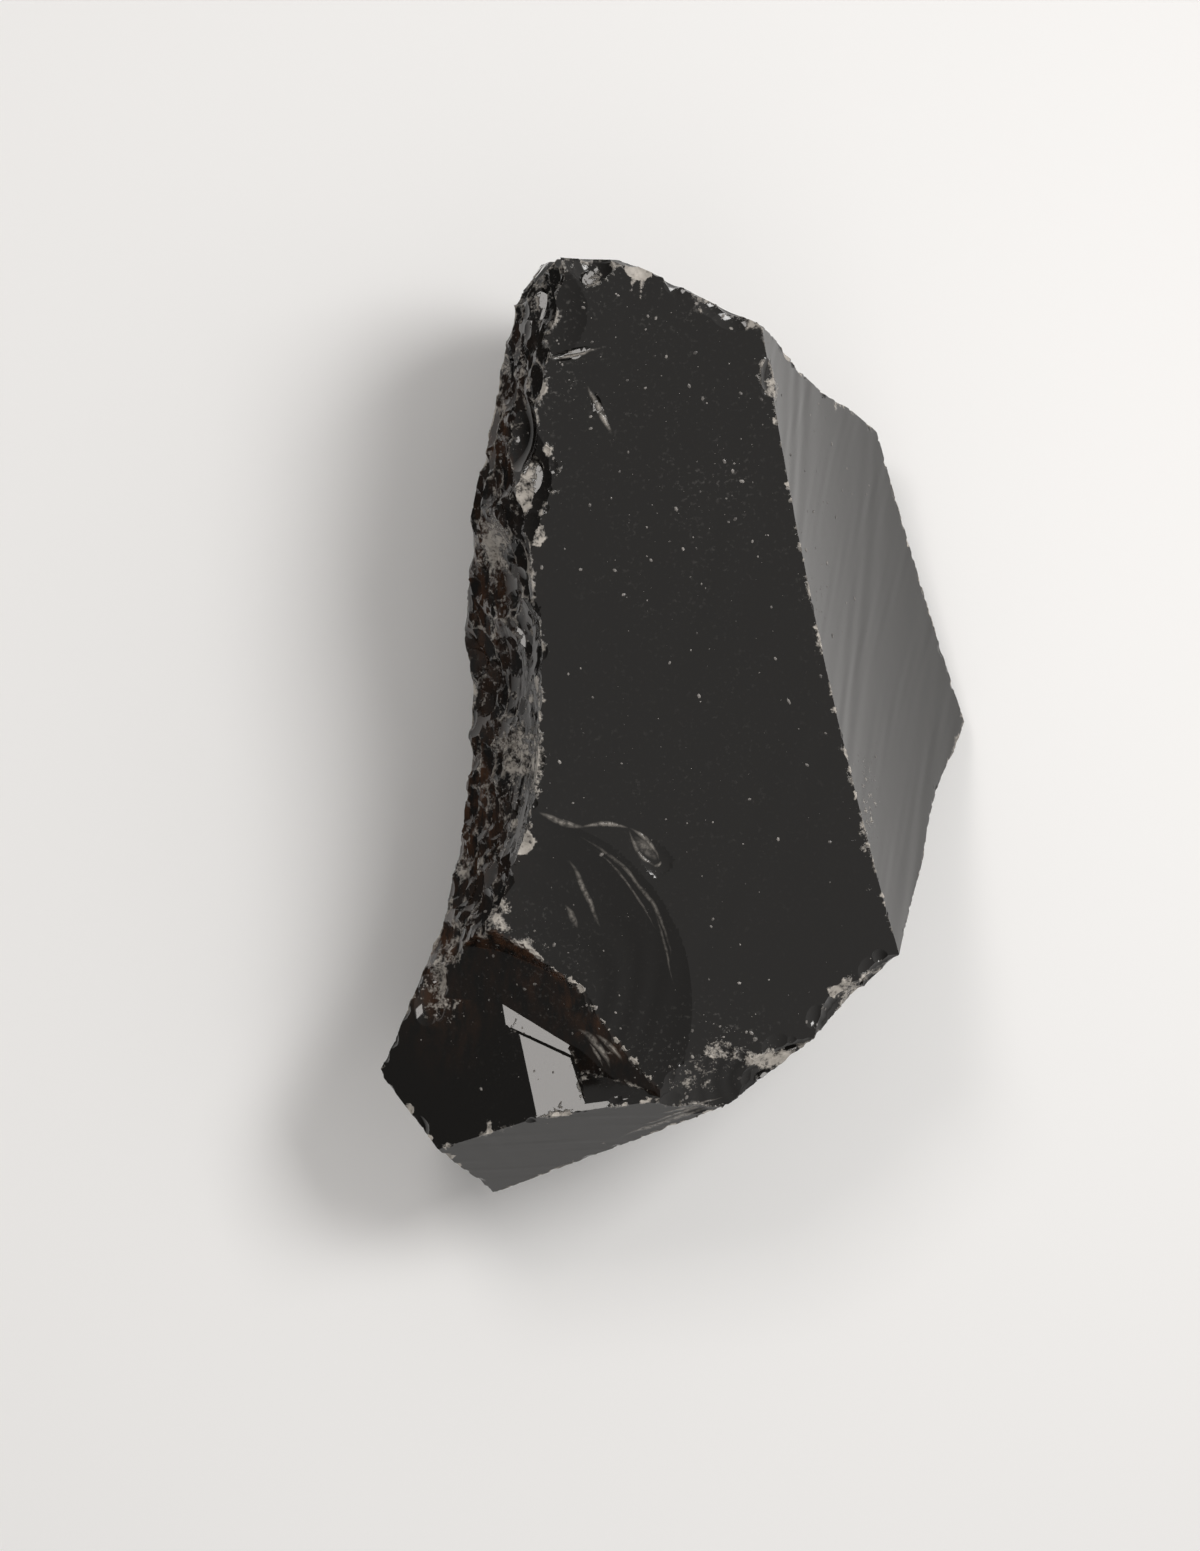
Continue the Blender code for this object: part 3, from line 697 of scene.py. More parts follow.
def place_in_frame(points):
    """How far to move the shape so that it lies where the solid lies: over its middle, on the floor."""
    low, high = points.min(0), points.max(0)
    node_low, node_high = solid_box()
    middle = (node_low + node_high) / 2 - (low + high) / 2
    return np.array([middle[0], middle[1], node_low[2] - low[2]])


def trimmed(points):
    """Squeezes the shape, down to the floor, by the little that keeps it inside the solid's box."""
    low, high = points.min(0), points.max(0)
    node_low, node_high = solid_box()
    room = np.minimum((node_high - node_low) / (high - low), 1.0)
    still = np.array([(low[0] + high[0]) / 2, (low[1] + high[1]) / 2, low[2]])
    return still + (points - still) * room


# ---- the piece ---------------------------------------------------------------------------------------
def closeness(points, spots):
    """How strongly each point lies in one of the spots, from 0 to 1."""
    strongest = np.zeros(len(points))
    for middle, across, along, strength in spots:
        away = (points - np.array(middle)) / np.array([across, along, max(across, along) * SPOT_DEPTH])
        strongest = np.maximum(strongest, strength * np.exp(-SPOT_FALL * (away * away).sum(1)))
    return strongest


def glass_mesh(name, points, quads):
    """The surface as a mesh, with fewer triangles where it is flat."""
    mesh = bpy.data.meshes.new(name)
    mesh.from_pydata(points.tolist(), [], quads.tolist())
    rough = bpy.data.objects.new(name, mesh)
    bpy.context.scene.collection.objects.link(rough)
    bpy.context.view_layer.update()
    triangles = 2 * len(quads)
    if triangles > MOST_TRIANGLES:
        thin = rough.modifiers.new("fewer", "DECIMATE")
        thin.ratio = MOST_TRIANGLES / triangles
        thin.use_collapse_triangulate = True
    else:
        rough.modifiers.new("triangles", "TRIANGULATE")
    graph = bpy.context.evaluated_depsgraph_get()
    finished = bpy.data.meshes.new_from_object(rough.evaluated_get(graph))
    bpy.data.objects.remove(rough)
    bpy.data.meshes.remove(mesh)
    finished.name = name
    return finished


def split_long_sides(dishes, mesh):
    """Splits the long sides of the triangles that touch a sharp edge."""
    for _ in range(SPLIT_ROUNDS):
        points = vertices_of(mesh)
        triangles = corners_of(mesh)
        _, ways = face_ways(dishes, points, triangles)
        near = edge_closeness(mesh, points, triangles, ways)
        built = bmesh.new()
        built.from_mesh(mesh)
        sides = [
            side
            for side in built.edges
            if side.calc_length() > LONGEST_SIDE and max(near[v.index] for v in side.verts) > NEAR_EDGE
        ]
        bmesh.ops.subdivide_edges(built, edges=sides, cuts=1)
        bmesh.ops.triangulate(built, faces=built.faces)
        built.to_mesh(mesh)
        built.free()


def vertices_of(mesh):
    flat = np.empty(len(mesh.vertices) * 3, np.float32)
    mesh.vertices.foreach_get("co", flat)
    return flat.reshape(-1, 3).astype(float)


def corners_of(mesh):
    flat = np.empty(len(mesh.loops), np.int32)
    mesh.loops.foreach_get("vertex_index", flat)
    return flat.reshape(-1, 3)


def face_ways(dishes, points, triangles):
    """For each triangle, its dish, and the way the glass looks at each of its corners."""
    corners = points[triangles]
    flat = np.cross(corners[:, 1] - corners[:, 0], corners[:, 2] - corners[:, 0])
    flat /= np.maximum(np.linalg.norm(flat, axis=1, keepdims=True), 1e-12)
    rows = dishes.carve(corners.mean(1))[1]
    ways = np.empty(corners.shape)
    for corner in range(3):
        ways[:, corner] = dishes.slope(rows, corners[:, corner])
    astray = (ways * flat[:, None]).sum(2).min(1) < math.cos(math.radians(MOST_ASTRAY))
    ways[astray] = flat[astray, None]
    return rows, ways


def edge_closeness(mesh, points, triangles, ways):
    """1 where faces meet sharply, falling away over a few tenths of a millimetre."""
    mean = np.zeros(points.shape)
    for corner in range(3):
        np.add.at(mean, triangles[:, corner], ways[:, corner])
    share = np.bincount(triangles.reshape(-1), minlength=len(points))
    sharp = 1 - np.linalg.norm(mean, axis=1) / np.maximum(share, 1)
    near = np.clip(sharp / EDGE_SHARPNESS, 0, 1)
    edges = np.empty(len(mesh.edges) * 2, np.int32)
    mesh.edges.foreach_get("vertices", edges)
    start, end = edges.reshape(-1, 2).T
    fade = np.exp(-np.linalg.norm(points[start] - points[end], axis=1) / EDGE_FADE)
    for _ in range(EDGE_SPREAD):
        spread = near.copy()
        np.maximum.at(spread, start, near[end] * fade)
        np.maximum.at(spread, end, near[start] * fade)
        near = spread
    return near


def add_number(mesh, name, values):
    mesh.attributes.new(name, "FLOAT", "POINT").data.foreach_set("value", values.astype(np.float32))


def obsidian_piece():
    """The chunk as one mesh with its attributes, and how far it was moved to lie in its place."""
    dishes = big_dishes()
    low, high = (np.array(corner) for corner in SPACE)
    dishes.list_small(low, high)
    add_scars(dishes)
    dishes.list_small(low, high)
    add_glints(dishes)
    dice = random.Random(CHIP_SEED)
    surface = trial_surface(dishes, low, high)
    add_pits(dishes, dice, surface)
    add_chips(dishes, dice, surface)
    dishes.list_small(low, high)
    points, quads, _ = find_surface(dishes, low, high, STEP)
    mesh = glass_mesh("obsidian_glass", points, quads)
    split_long_sides(dishes, mesh)
    points = vertices_of(mesh)
    triangles = corners_of(mesh)
    rows, ways = face_ways(dishes, points, triangles)

    white = np.zeros(len(points))
    np.maximum.at(white, triangles, np.array(dishes.rows)[rows, WHITE][:, None])
    crushed = np.maximum(closeness(points, CRUSHED_SPOTS), white)
    names = np.array(dishes.names)[rows]
    in_hollow = np.isin(names, ["hollow", *HOLLOW_FACETS.keys() - {"hollow_floor"}])
    crushed[triangles[in_hollow]] = 0
    add_number(mesh, "crushed", crushed)
    add_number(mesh, "worn", edge_closeness(mesh, points, triangles, ways))
    brown = closeness(points, BROWN_SPOTS)
    brown[triangles[in_hollow]] = 0
    rim = closeness(points, BROWN_RIM)
    for name, strength in BROWN_WALLS.items():
        wall = triangles[names == name]
        brown[wall] = np.maximum(strength, rim[wall])
    add_number(mesh, "brown", brown)

    moved = place_in_frame(points)
    mesh.vertices.foreach_set("co", (trimmed(points + moved) * MM).astype(np.float32).reshape(-1))
    mesh.polygons.foreach_set("use_smooth", np.ones(len(triangles), bool))
    mesh.update()
    mesh.normals_split_custom_set(ways.reshape(-1, 3).tolist())
    piece = bpy.data.objects.new(mesh.name, mesh)
    bpy.context.scene.collection.objects.link(piece)
    return piece, moved


# ---- crumbs of glass that lie on it -------------------------------------------------------------------
CRUMBS = 3_200_000  # to a square metre, where they lie thickest
CRUMB_SIZE = (0.018, 0.095)  # millimetres, from the middle
CRUMB_FLATNESS = 0.45
CRUMB_SKEW = 5.0  # the higher, the rarer the large ones
CRUMB_BREADTH = (0.5, 1.5)
CRUMB_SEED = 5
CRUMB_MARGIN = 0.2  # how far inside the solid's box they stay
# Where they lie: the middle, the radius across and along, and how thickly.
DUSTY_SPOTS = (
    ((0.0, 12.0, 18.0), 7.0, 9.0, 0.50),
    ((0.0, -2.0, 17.0), 9.0, 9.0, 0.28),
    ((-6.0, 17.0, 18.5), 3.0, 5.0, 1.0),
    ((0.0, 19.5, 18.5), 6.0, 1.6, 1.0),
    ((-9.0, 4.0, 14.0), 1.8, 12.0, 1.0),
    ((1.5, 10.5, 17.5), 2.5, 2.5, 0.9),
    ((-7.0, -12.0, 15.0), 4.0, 5.0, 0.8),
    ((1.0, -15.5, 15.5), 5.0, 2.4, 1.0),
    ((6.0, 9.0, 14.0), 2.5, 10.0, 0.35),
)
# Single crumbs: where each is seen, its half length and half width, and its turn in degrees.
SINGLE_CRUMBS = (
    ((4.94, 0.86), 0.19, 0.07, 75.0),
    ((1.34, -9.50), 0.10, 0.07, 20.0),
    ((1.25, -9.84), 0.09, 0.06, 95.0),
    ((-5.95, -2.02), 0.13, 0.08, 80.0),
    ((5.81, -2.16), 0.12, 0.07, 100.0),
    ((6.82, 7.49), 0.12, 0.09, 15.0),
    ((7.63, 11.04), 0.08, 0.06, 40.0),
    ((7.87, 12.14), 0.07, 0.05, 70.0),
    ((-1.39, 18.96), 0.11, 0.07, 30.0),
    ((-2.74, 16.03), 0.09, 0.06, 150.0),
    ((-4.51, 10.13), 0.12, 0.08, 45.0),
    ((-6.24, 12.34), 0.10, 0.07, 10.0),
    ((-1.87, 18.43), 0.07, 0.06, 0.0),
    ((-3.17, 20.02), 0.09, 0.06, 120.0),
    ((0.53, 8.11), 0.08, 0.05, 65.0),
    ((2.26, 11.76), 0.13, 0.09, 60.0),
    ((2.69, 11.28), 0.15, 0.09, 125.0),
    ((-7.3, 16.1), 0.12, 0.09, 35.0),
    ((-6.53, 15.8), 0.10, 0.08, 80.0),
)


def add_node(tree, kind, inputs=None, **settings):
    """Adds a node to a tree, with each input joined to the socket or set to the value that is given."""
    made = tree.nodes.new(kind)
    for name, value in settings.items():
        setattr(made, name, value)
    for name, value in (inputs or {}).items():
        if isinstance(value, bpy.types.NodeSocket):
            tree.links.new(value, made.inputs[name])
        else:
            made.inputs[name].default_value = value
    return made


def crumb_tree(finish):
    """Scatters flat crumbs over a surface, more where the dusty attribute is high."""
    tree = bpy.data.node_groups.new("glass_crumbs", "GeometryNodeTree")
    face = tree.interface
    face.new_socket("Geometry", in_out="INPUT", socket_type="NodeSocketGeometry")
    for name, kind in (("Crumbs", "Float"), ("Smallest", "Float"), ("Largest", "Float"), ("Seed", "Int")):
        face.new_socket(name, in_out="INPUT", socket_type="NodeSocket" + kind)
    face.new_socket("Geometry", in_out="OUTPUT", socket_type="NodeSocketGeometry")

    def node(kind, inputs=None, **settings):
        return add_node(tree, kind, inputs, **settings)

    given = node("NodeGroupInput").outputs
    dusty = node("GeometryNodeInputNamedAttribute", {"Name": "dusty"}, data_type="FLOAT").outputs[0]
    density = node("ShaderNodeMath", {0: given["Crumbs"], 1: dusty}, operation="MULTIPLY").outputs[0]
    inputs = {"Mesh": given["Geometry"], "Density": density, "Seed": given["Seed"]}
    points = node("GeometryNodeDistributePointsOnFaces", inputs, distribute_method="RANDOM")
    chance = node("FunctionNodeRandomValue", {"Seed": given["Seed"]}, data_type="FLOAT").outputs[1]
    skewed = node("ShaderNodeMath", {0: chance, 1: CRUMB_SKEW}, operation="POWER").outputs[0]
    sizes = {"Value": skewed, "To Min": given["Smallest"], "To Max": given["Largest"]}
    size = node("ShaderNodeMapRange", sizes).outputs["Result"]
    flat = node("ShaderNodeMath", {0: size, 1: CRUMB_FLATNESS}, operation="MULTIPLY").outputs[0]
    least, most = CRUMB_BREADTH
    wide = node("FunctionNodeRandomValue", {2: least, 3: most, "Seed": CRUMB_SEED}, data_type="FLOAT")
    broad = node("ShaderNodeMath", {0: size, 1: wide.outputs[1]}, operation="MULTIPLY").outputs[0]
    scale = node("ShaderNodeCombineXYZ", {"X": size, "Y": broad, "Z": flat}).outputs[0]
    turn = node("FunctionNodeRandomValue", {2: 0.0, 3: math.tau, "Seed": CRUMB_SEED + 1}, data_type="FLOAT")
    spin = node("ShaderNodeCombineXYZ", {"Z": turn.outputs[1]}).outputs[0]
    inputs = {"Rotation": points.outputs["Rotation"], "Rotate By": spin}
    turned = node("FunctionNodeRotateRotation", inputs, rotation_space="LOCAL").outputs[0]
    crumb = node("GeometryNodeMeshIcoSphere", {"Radius": 1.0, "Subdivisions": 1}).outputs["Mesh"]
    inputs = {"Points": points.outputs["Points"], "Instance": crumb, "Rotation": turned, "Scale": scale}
    lying = node("GeometryNodeInstanceOnPoints", inputs).outputs[0]
    real = node("GeometryNodeRealizeInstances", {"Geometry": lying}).outputs[0]
    finished = node("GeometryNodeSetMaterial", {"Geometry": real, "Material": finish}).outputs[0]
    node("NodeGroupOutput", {"Geometry": finished})
    return tree


def add_single_crumbs(mesh, piece, moved):
    """Lays the single crumbs where a line straight down meets the piece."""
    built = bmesh.new()
    built.from_mesh(mesh)
    above = 2 * THICKNESS
    for (x, y), length, width, turn in SINGLE_CRUMBS:
        start = Vector((x + moved[0], y + moved[1], above)) * MM
        found, spot, way, _ = piece.ray_cast(start, Vector((0.0, 0.0, -1.0)))
        if not found:
            continue
        size = Matrix.Diagonal((length * MM, width * MM, width * CRUMB_FLATNESS * MM, 1.0))
        spin = Matrix.Rotation(math.radians(turn), 4, "Z")
        lay = way.to_track_quat("Z", "Y").to_matrix().to_4x4()
        place = Matrix.Translation(spot) @ lay @ spin @ size
        bmesh.ops.create_icosphere(built, subdivisions=1, radius=1.0, matrix=place)
    built.to_mesh(mesh)
    built.free()


def glass_crumbs(piece, moved, finish):
    """The crumbs as one mesh. It leaves the dusty attribute on the piece too, for its film of dust."""
    ground = bpy.data.objects.new("glass_crumbs", piece.data.copy())
    bpy.context.scene.collection.objects.link(ground)
    points = vertices_of(ground.data) / MM
    dusty = closeness(points - moved, DUSTY_SPOTS)
    add_number(piece.data, "dusty", dusty)
    low, high = solid_box()
    dusty[((points < low + CRUMB_MARGIN) | (points > high - CRUMB_MARGIN)).any(1)] = 0
    add_number(ground.data, "dusty", dusty)
    tree = crumb_tree(finish)
    scatter = ground.modifiers.new("crumbs", "NODES")
    scatter.node_group = tree
    smallest, largest = CRUMB_SIZE
    given = {"Crumbs": CRUMBS, "Smallest": smallest * MM, "Largest": largest * MM, "Seed": CRUMB_SEED}
    for socket in tree.interface.items_tree:
        if socket.in_out == "INPUT" and socket.name in given:
            scatter[socket.identifier] = type(given[socket.name])(given[socket.name])
    graph = bpy.context.evaluated_depsgraph_get()
    mesh = bpy.data.meshes.new_from_object(ground.evaluated_get(graph))
    mesh.name = "glass_crumbs"
    add_single_crumbs(mesh, piece, moved)
    mesh.materials.clear()
    mesh.materials.append(finish)
    mesh.polygons.foreach_set("material_index", np.zeros(len(mesh.polygons), np.int32))
    crumbs = bpy.data.objects.new("glass_crumbs_on_top", mesh)
    bpy.context.scene.collection.objects.link(crumbs)
    bpy.data.objects.remove(ground)
    return crumbs


# ---- the finish --------------------------------------------------------------------------------------
class Graph:
    """The nodes of one material, added and joined in one call."""

    def __init__(self, material):
        material.use_nodes = True
        self.tree = material.node_tree
        self.tree.nodes.clear()

    def add(self, kind, inputs=None, **settings):
        return add_node(self.tree, kind, inputs, **settings)

    def math(self, operation, *values):
        return self.add("ShaderNodeMath", dict(enumerate(values)), operation=operation).outputs[0]

    def times(self, one, other):
        return self.math("MULTIPLY", one, other)

    def plus(self, one, other):
        return self.math("ADD", one, other)

    def minus(self, one, other):
        return self.math("SUBTRACT", one, other)

    def larger(self, one, other):
        return self.math("MAXIMUM", one, other)

    def ramp(self, value, low, high, first=0.0, last=1.0):
        """Takes low..high to first..last, and holds there."""
        inputs = {"Value": value, "From Min": low, "From Max": high, "To Min": first, "To Max": last}
        return self.add("ShaderNodeMapRange", inputs, clamp=True).outputs["Result"]

    def mix(self, share, one, other):
        """Mixes two colours, which are the seventh and eighth input of the node."""
        return self.add("ShaderNodeMix", {0: share, 6: one, 7: other}, data_type="RGBA").outputs[2]

    def place(self, size=(1.0, 1.0, 1.0), turn=(0.0, 0.0, 0.0)):
        """The place on the piece, in units of size millimetres."""
        spot = self.add("ShaderNodeTexCoord").outputs["Object"]
        scale = [1 / (length * MM) for length in size]
        inputs = {"Vector": spot, "Rotation": turn, "Scale": scale}
        return self.add("ShaderNodeMapping", inputs, vector_type="POINT").outputs[0]

    def noise(self, where, detail=2.0, roughness=0.5):
        inputs = {"Vector": where, "Scale": 1.0, "Detail": detail, "Roughness": roughness}
        return self.add("ShaderNodeTexNoise", inputs).outputs["Fac"]

    def attribute(self, name):
        return self.add("ShaderNodeAttribute", attribute_name=name).outputs["Fac"]


BLACK_GLASS = (0.0062, 0.0056, 0.0050, 1.0)
BROWN_GLASS = (0.066, 0.029, 0.013, 1.0)
DUST = (0.075, 0.071, 0.067, 1.0)
# pale colour of crushed glass, also used for the painted highlight lines
CRUSHED_AND_HIGHLIGHT_COLOUR = (0.47, 0.435, 0.39, 1.0)
CRUMB_DARK = (0.035, 0.032, 0.030, 1.0)
CRUMB_PALE = (0.24, 0.225, 0.21, 1.0)
TEXTURE_WEIGHT = 2.2  # how much the texture breaks up crushed and worn glass
CRUSHED_RANGE = (1.55, 1.85)  # the sum of closeness and texture, from clear to white
WORN_RANGE = (1.72, 2.08)
WORN_STRENGTH = 0.65
GLASS_BEND = 1.5  # its index of refraction

# Painted highlights, partly crushed glass: pale lines in the colour on the shell-shaped scar, where its
# ripples are steep and catch the light, on the leaf and the hollow's brown wall, on the marks at the top left
# and along the bottom's edge: three places that each passes through, its width, and its strength.
PAINTED_HIGHLIGHT_LINES = (
    ((-4.85, -5.66), (-2.11, -7.92), (-0.58, -11.52), 0.08, 0.36),
    ((-5.38, -6.91), (-4.72, -8.26), (-4.00, -10.00), 0.11, 0.60),
    ((-5.66, -8.83), (-5.38, -9.36), (-5.14, -9.94), 0.12, 0.55),
    ((-6.90, -4.42), (-5.90, -4.90), (-4.75, -5.09), 0.13, 0.60),
    ((-4.75, -5.09), (-3.80, -5.02), (-2.60, -5.20), 0.10, 0.75),
    ((-2.60, -5.20), (-1.75, -5.75), (-1.25, -6.75), 0.09, 0.60),
    ((-2.60, -5.20), (-2.20, -6.30), (-1.30, -6.95), 0.08, 0.50),
    ((-2.40, -5.55), (-1.85, -6.10), (-1.40, -6.65), 0.26, 0.38),
    ((-1.40, -9.20), (-0.95, -10.80), (-0.55, -12.60), 0.06, 0.25),
    ((-4.30, -6.10), (-2.60, -7.90), (-1.50, -9.80), 0.05, 0.30),
    ((-1.60, -6.55), (-1.28, -6.90), (-1.15, -6.60), 0.08, 0.60),
    ((-4.80, -14.88), (-4.10, -15.50), (-3.46, -16.85), 0.12, 1.0),
    ((-4.25, -15.00), (-3.50, -15.55), (-2.98, -16.22), 0.10, 0.9),
    ((-4.55, -15.30), (-4.15, -15.95), (-3.95, -16.40), 0.07, 0.8),
    ((-4.50, 15.50), (-4.05, 14.60), (-3.31, 13.34), 0.13, 0.95),
    ((-6.30, 17.05), (-5.20, 17.20), (-3.80, 17.55), 0.07, 0.8),
    ((-3.10, -19.95), (-0.90, -19.15), (1.35, -18.40), 0.07, 0.55),
    ((-2.00, -19.30), (-0.40, -18.80), (1.50, -18.22), 0.05, 0.45),
    ((-1.30, -18.85), (0.30, -18.45), (1.75, -18.05), 0.05, 0.50),
)
FRONT_HEIGHT = 11.5  # the painted highlight lines are above this
LINE_SWAY = 0.35
LINE_FADE = (0.35, 1.05)  # where an end starts and stops to fade, in half lengths from the middle
THINNEST = 0.4  # how thin an end is, beside its middle's 1.4


def circle_through(one, two, three):
    """The middle and radius of the circle through three places."""
    one, two, three = (np.array(place) for place in (one, two, three))
    sides = 2 * np.array([two - one, three - one])
    squares = [two @ two - one @ one, three @ three - one @ one]
    middle = np.linalg.solve(sides, squares)
    return middle, np.linalg.norm(one - middle)


def painted_highlight_lines(graph, moved):
    """Painted highlights, partly crushed glass: thin bright arcs in the colour that fade at both ends."""
    x, y, z = graph.add("ShaderNodeSeparateXYZ", {"Vector": graph.place()}).outputs

    def away_from(spot):
        across = graph.math("POWER", graph.minus(x, spot[0] + moved[0]), 2.0)
        up = graph.math("POWER", graph.minus(y, spot[1] + moved[1]), 2.0)
        return graph.math("SQRT", graph.plus(across, up))

    wobble = graph.noise(graph.place((1.3, 1.3, 1.3)), 2.0, 0.5)
    broken = graph.ramp(graph.noise(graph.place((0.28, 0.28, 0.28)), 2.0, 0.6), 0.36, 0.56, 0.25, 1.0)
    sway = graph.times(graph.minus(wobble, 0.5), LINE_SWAY)
    total = 0.0
    for one, two, three, width, strength in PAINTED_HIGHLIGHT_LINES:
        middle, radius = circle_through(one, two, three)
        off = graph.math("ABSOLUTE", graph.minus(graph.plus(away_from(middle), sway), radius))
        half = math.dist(one, three) / 2
        fade_start, fade_end = LINE_FADE
        ends = graph.ramp(away_from(two), fade_start * half, fade_end * half, 1.0, 0.0)
        thin = graph.times(graph.plus(ends, THINNEST), width)
        line = graph.larger(graph.minus(1.0, graph.math("DIVIDE", off, thin)), 0.0)
        total = graph.larger(total, graph.times(line, graph.times(ends, strength)))
    on_front = graph.ramp(z, FRONT_HEIGHT, FRONT_HEIGHT + 0.5)
    return graph.times(graph.times(total, broken), on_front)


def obsidian_glass(moved):
    material = bpy.data.materials.new("obsidian_glass")
    graph = Graph(material)
    grains = graph.noise(graph.place((0.13, 0.13, 0.13)), 3.0, 0.6)
    flakes = graph.noise(graph.place((0.42, 0.42, 0.42)), 3.0, 0.6)
    patches = graph.noise(graph.place((1.6, 1.6, 1.6)), 3.0, 0.6)
    texture = graph.plus(graph.times(grains, 0.4), graph.times(flakes, 0.6))
    broken = graph.times(texture, TEXTURE_WEIGHT)
    crushed = graph.ramp(graph.plus(graph.attribute("crushed"), broken), *CRUSHED_RANGE)
    worn = graph.times(graph.attribute("worn"), graph.ramp(patches, 0.42, 0.62, 0.35, 1.0))
    worn = graph.ramp(graph.plus(worn, broken), *WORN_RANGE)
    # painted highlight lines: pale arcs where ripples, steps and small facets would catch the light, partly
    # crushed glass
    highlights = painted_highlight_lines(graph, moved)
    worn = graph.times(worn, WORN_STRENGTH)
    # white holds the crushed glass, the worn edges and the painted highlight lines
    white = graph.larger(graph.larger(crushed, worn), highlights)

    cloud = graph.noise(graph.place((0.5, 1.5, 1.2)), 4.0, 0.6)
    brown = graph.times(graph.attribute("brown"), graph.ramp(cloud, 0.40, 0.66))
    colour = graph.mix(brown, BLACK_GLASS, BROWN_GLASS)
    tone = graph.ramp(flakes, 0.3, 0.7, 0.55, 1.0)
    # crushed glass, worn edges and painted highlights all take the pale colour here
    colour = graph.mix(graph.times(white, tone), colour, CRUSHED_AND_HIGHLIGHT_COLOUR)

    specks = graph.ramp(graph.noise(graph.place((0.20, 0.20, 0.20)), 2.0, 0.55), 0.58, 0.76)
    haze = graph.ramp(patches, 0.35, 0.65)
    dust = graph.times(graph.attribute("dusty"), graph.times(specks, haze))
    colour = graph.mix(dust, colour, DUST)

    dull = graph.noise(graph.place((3.0, 5.0, 3.0)), 3.0, 0.5)
    roughness = graph.ramp(dull, 0.3, 0.7, 0.05, 0.10)
    roughness = graph.plus(roughness, graph.times(white, 0.40))
    roughness = graph.plus(roughness, graph.times(dust, 0.15))

    waves = graph.noise(graph.place((1.1, 2.6, 1.1)), 3.0, 0.5)
    bump = graph.add("ShaderNodeBump", {"Height": waves, "Strength": 0.2, "Distance": 0.02 * MM})
    crumbs = graph.times(texture, white)
    inputs = {"Height": crumbs, "Strength": 0.7, "Distance": 0.08 * MM, "Normal": bump.outputs[0]}
    bump = graph.add("ShaderNodeBump", inputs)
    inputs = {"Base Color": colour, "Roughness": roughness, "Normal": bump.outputs[0], "IOR": GLASS_BEND}
    shader = graph.add("ShaderNodeBsdfPrincipled", inputs)
    graph.add("ShaderNodeOutputMaterial", {"Surface": shader.outputs[0]})
    return material


def crumb_glass():
    material = bpy.data.materials.new("crumb_glass")
    graph = Graph(material)
    tone = graph.ramp(graph.noise(graph.place((0.6, 0.6, 0.6)), 2.0, 0.5), 0.35, 0.65)
    colour = graph.mix(tone, CRUMB_DARK, CRUMB_PALE)
    rough = graph.ramp(graph.noise(graph.place((0.2, 0.2, 0.2)), 2.0, 0.5), 0.3, 0.7, 0.25, 0.6)
    inputs = {"Base Color": colour, "Roughness": rough, "IOR": GLASS_BEND}
    shader = graph.add("ShaderNodeBsdfPrincipled", inputs)
    graph.add("ShaderNodeOutputMaterial", {"Surface": shader.outputs[0]})
    return material


# ---- where it is seen --------------------------------------------------------------------------------
VIEW_HEIGHT = 74.45  # from top to bottom of the picture, at the height of the camera's aim
AIM = (-4.03, -2.66, 11.0)
CAMERA_DISTANCE = 500.0
SENSOR = 36.0
CLIP = (0.01, 20.0)  # metres

FLOOR_WIDTH = 3000.0
FLOOR_COLOUR = (0.92, 0.92, 0.92, 1.0)
FLOOR_ROUGHNESS = 0.7
SKY_LEFT = 0.06  # the soft light that comes from the left and from the right
SKY_RIGHT = 0.86
SKY_COLOUR = (1.0, 0.975, 0.948, 1.0)

# Lights: where each is, what it points at, its width and height, how bright it looks beside the
# floor's 1, how wide it throws its light in degrees, and its colour.
LIGHTS = {
    "key_light": ((130.0, 70.0, 240.0), (5.0, 0.0, 0.0), (90.0, 90.0), 2.2, 70.0, (1.0, 0.985, 0.965)),
    "small_window": (
        (-88.0, 156.0, 290.0),
        (-6.0, -4.0, 13.0),
        (80.0, 100.0),
        7.6,
        180.0,
        (1.0, 0.96, 0.925),
    ),
}


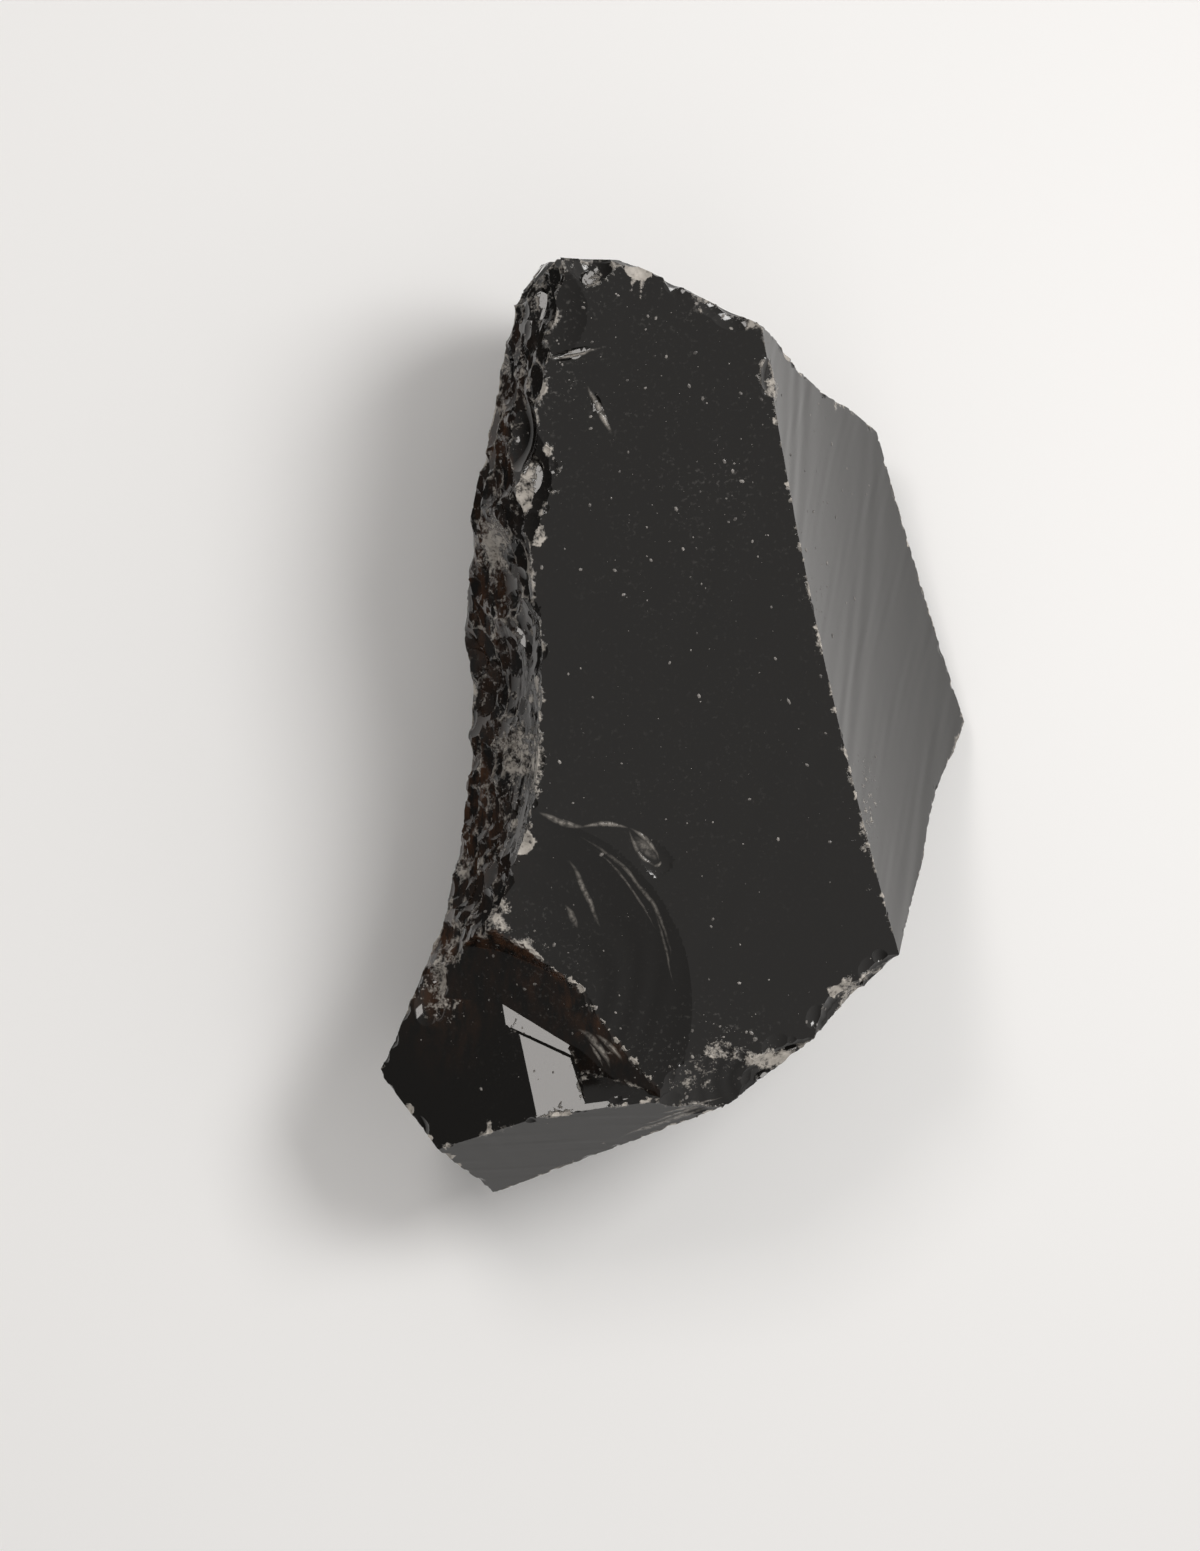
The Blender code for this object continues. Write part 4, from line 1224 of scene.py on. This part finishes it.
def camera(moved):
    data = bpy.data.cameras.new("camera")
    data.sensor_width = SENSOR
    data.lens = SENSOR * CAMERA_DISTANCE / VIEW_HEIGHT
    data.clip_start, data.clip_end = CLIP
    seen_from = bpy.data.objects.new("camera", data)
    above = np.array(AIM) + moved + np.array([0.0, 0.0, CAMERA_DISTANCE])
    seen_from.location = Vector(above * MM)
    bpy.context.scene.collection.objects.link(seen_from)
    bpy.context.scene.camera = seen_from


def floor():
    half = FLOOR_WIDTH / 2 * MM
    mesh = bpy.data.meshes.new("floor")
    corners = [(-half, -half, 0.0), (half, -half, 0.0), (half, half, 0.0), (-half, half, 0.0)]
    mesh.from_pydata(corners, [], [(0, 1, 2, 3)])
    material = bpy.data.materials.new("pale_floor")
    graph = Graph(material)
    shader = graph.add("ShaderNodeBsdfPrincipled", {"Base Color": FLOOR_COLOUR, "Roughness": FLOOR_ROUGHNESS})
    graph.add("ShaderNodeOutputMaterial", {"Surface": shader.outputs[0]})
    mesh.materials.append(material)
    ground = bpy.data.objects.new("floor", mesh)
    bpy.context.scene.collection.objects.link(ground)


def lights():
    for name, (spot, aim, (width, height), brightness, spread, colour) in LIGHTS.items():
        data = bpy.data.lights.new(name, "AREA")
        data.shape = "RECTANGLE"
        data.size = width * MM
        data.size_y = height * MM
        data.spread = math.radians(spread)
        data.energy = brightness * math.pi * width * height * MM * MM
        data.color = colour
        light = bpy.data.objects.new(name, data)
        light.location = Vector(spot) * MM
        way = Vector(aim) * MM - light.location
        light.rotation_euler = way.to_track_quat("-Z", "Y").to_euler()
        bpy.context.scene.collection.objects.link(light)
    world = bpy.data.worlds.new("soft_light")
    graph = Graph(world)
    way = graph.add("ShaderNodeTexCoord").outputs["Generated"]
    across = graph.add("ShaderNodeSeparateXYZ", {"Vector": way}).outputs["X"]
    strength = graph.ramp(across, -1.0, 1.0, SKY_LEFT, SKY_RIGHT)
    sky = graph.add("ShaderNodeBackground", {"Color": SKY_COLOUR, "Strength": strength})
    graph.add("ShaderNodeOutputWorld", {"Surface": sky.outputs[0]})
    bpy.context.scene.world = world
    bpy.context.scene.view_settings.view_transform = "Standard"


piece, moved = obsidian_piece()
piece.data.materials.append(obsidian_glass(moved))
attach(piece, "root")
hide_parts(NODE)
crumbs = glass_crumbs(piece, moved, crumb_glass())
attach(crumbs, "root")
floor()
lights()
camera(moved)
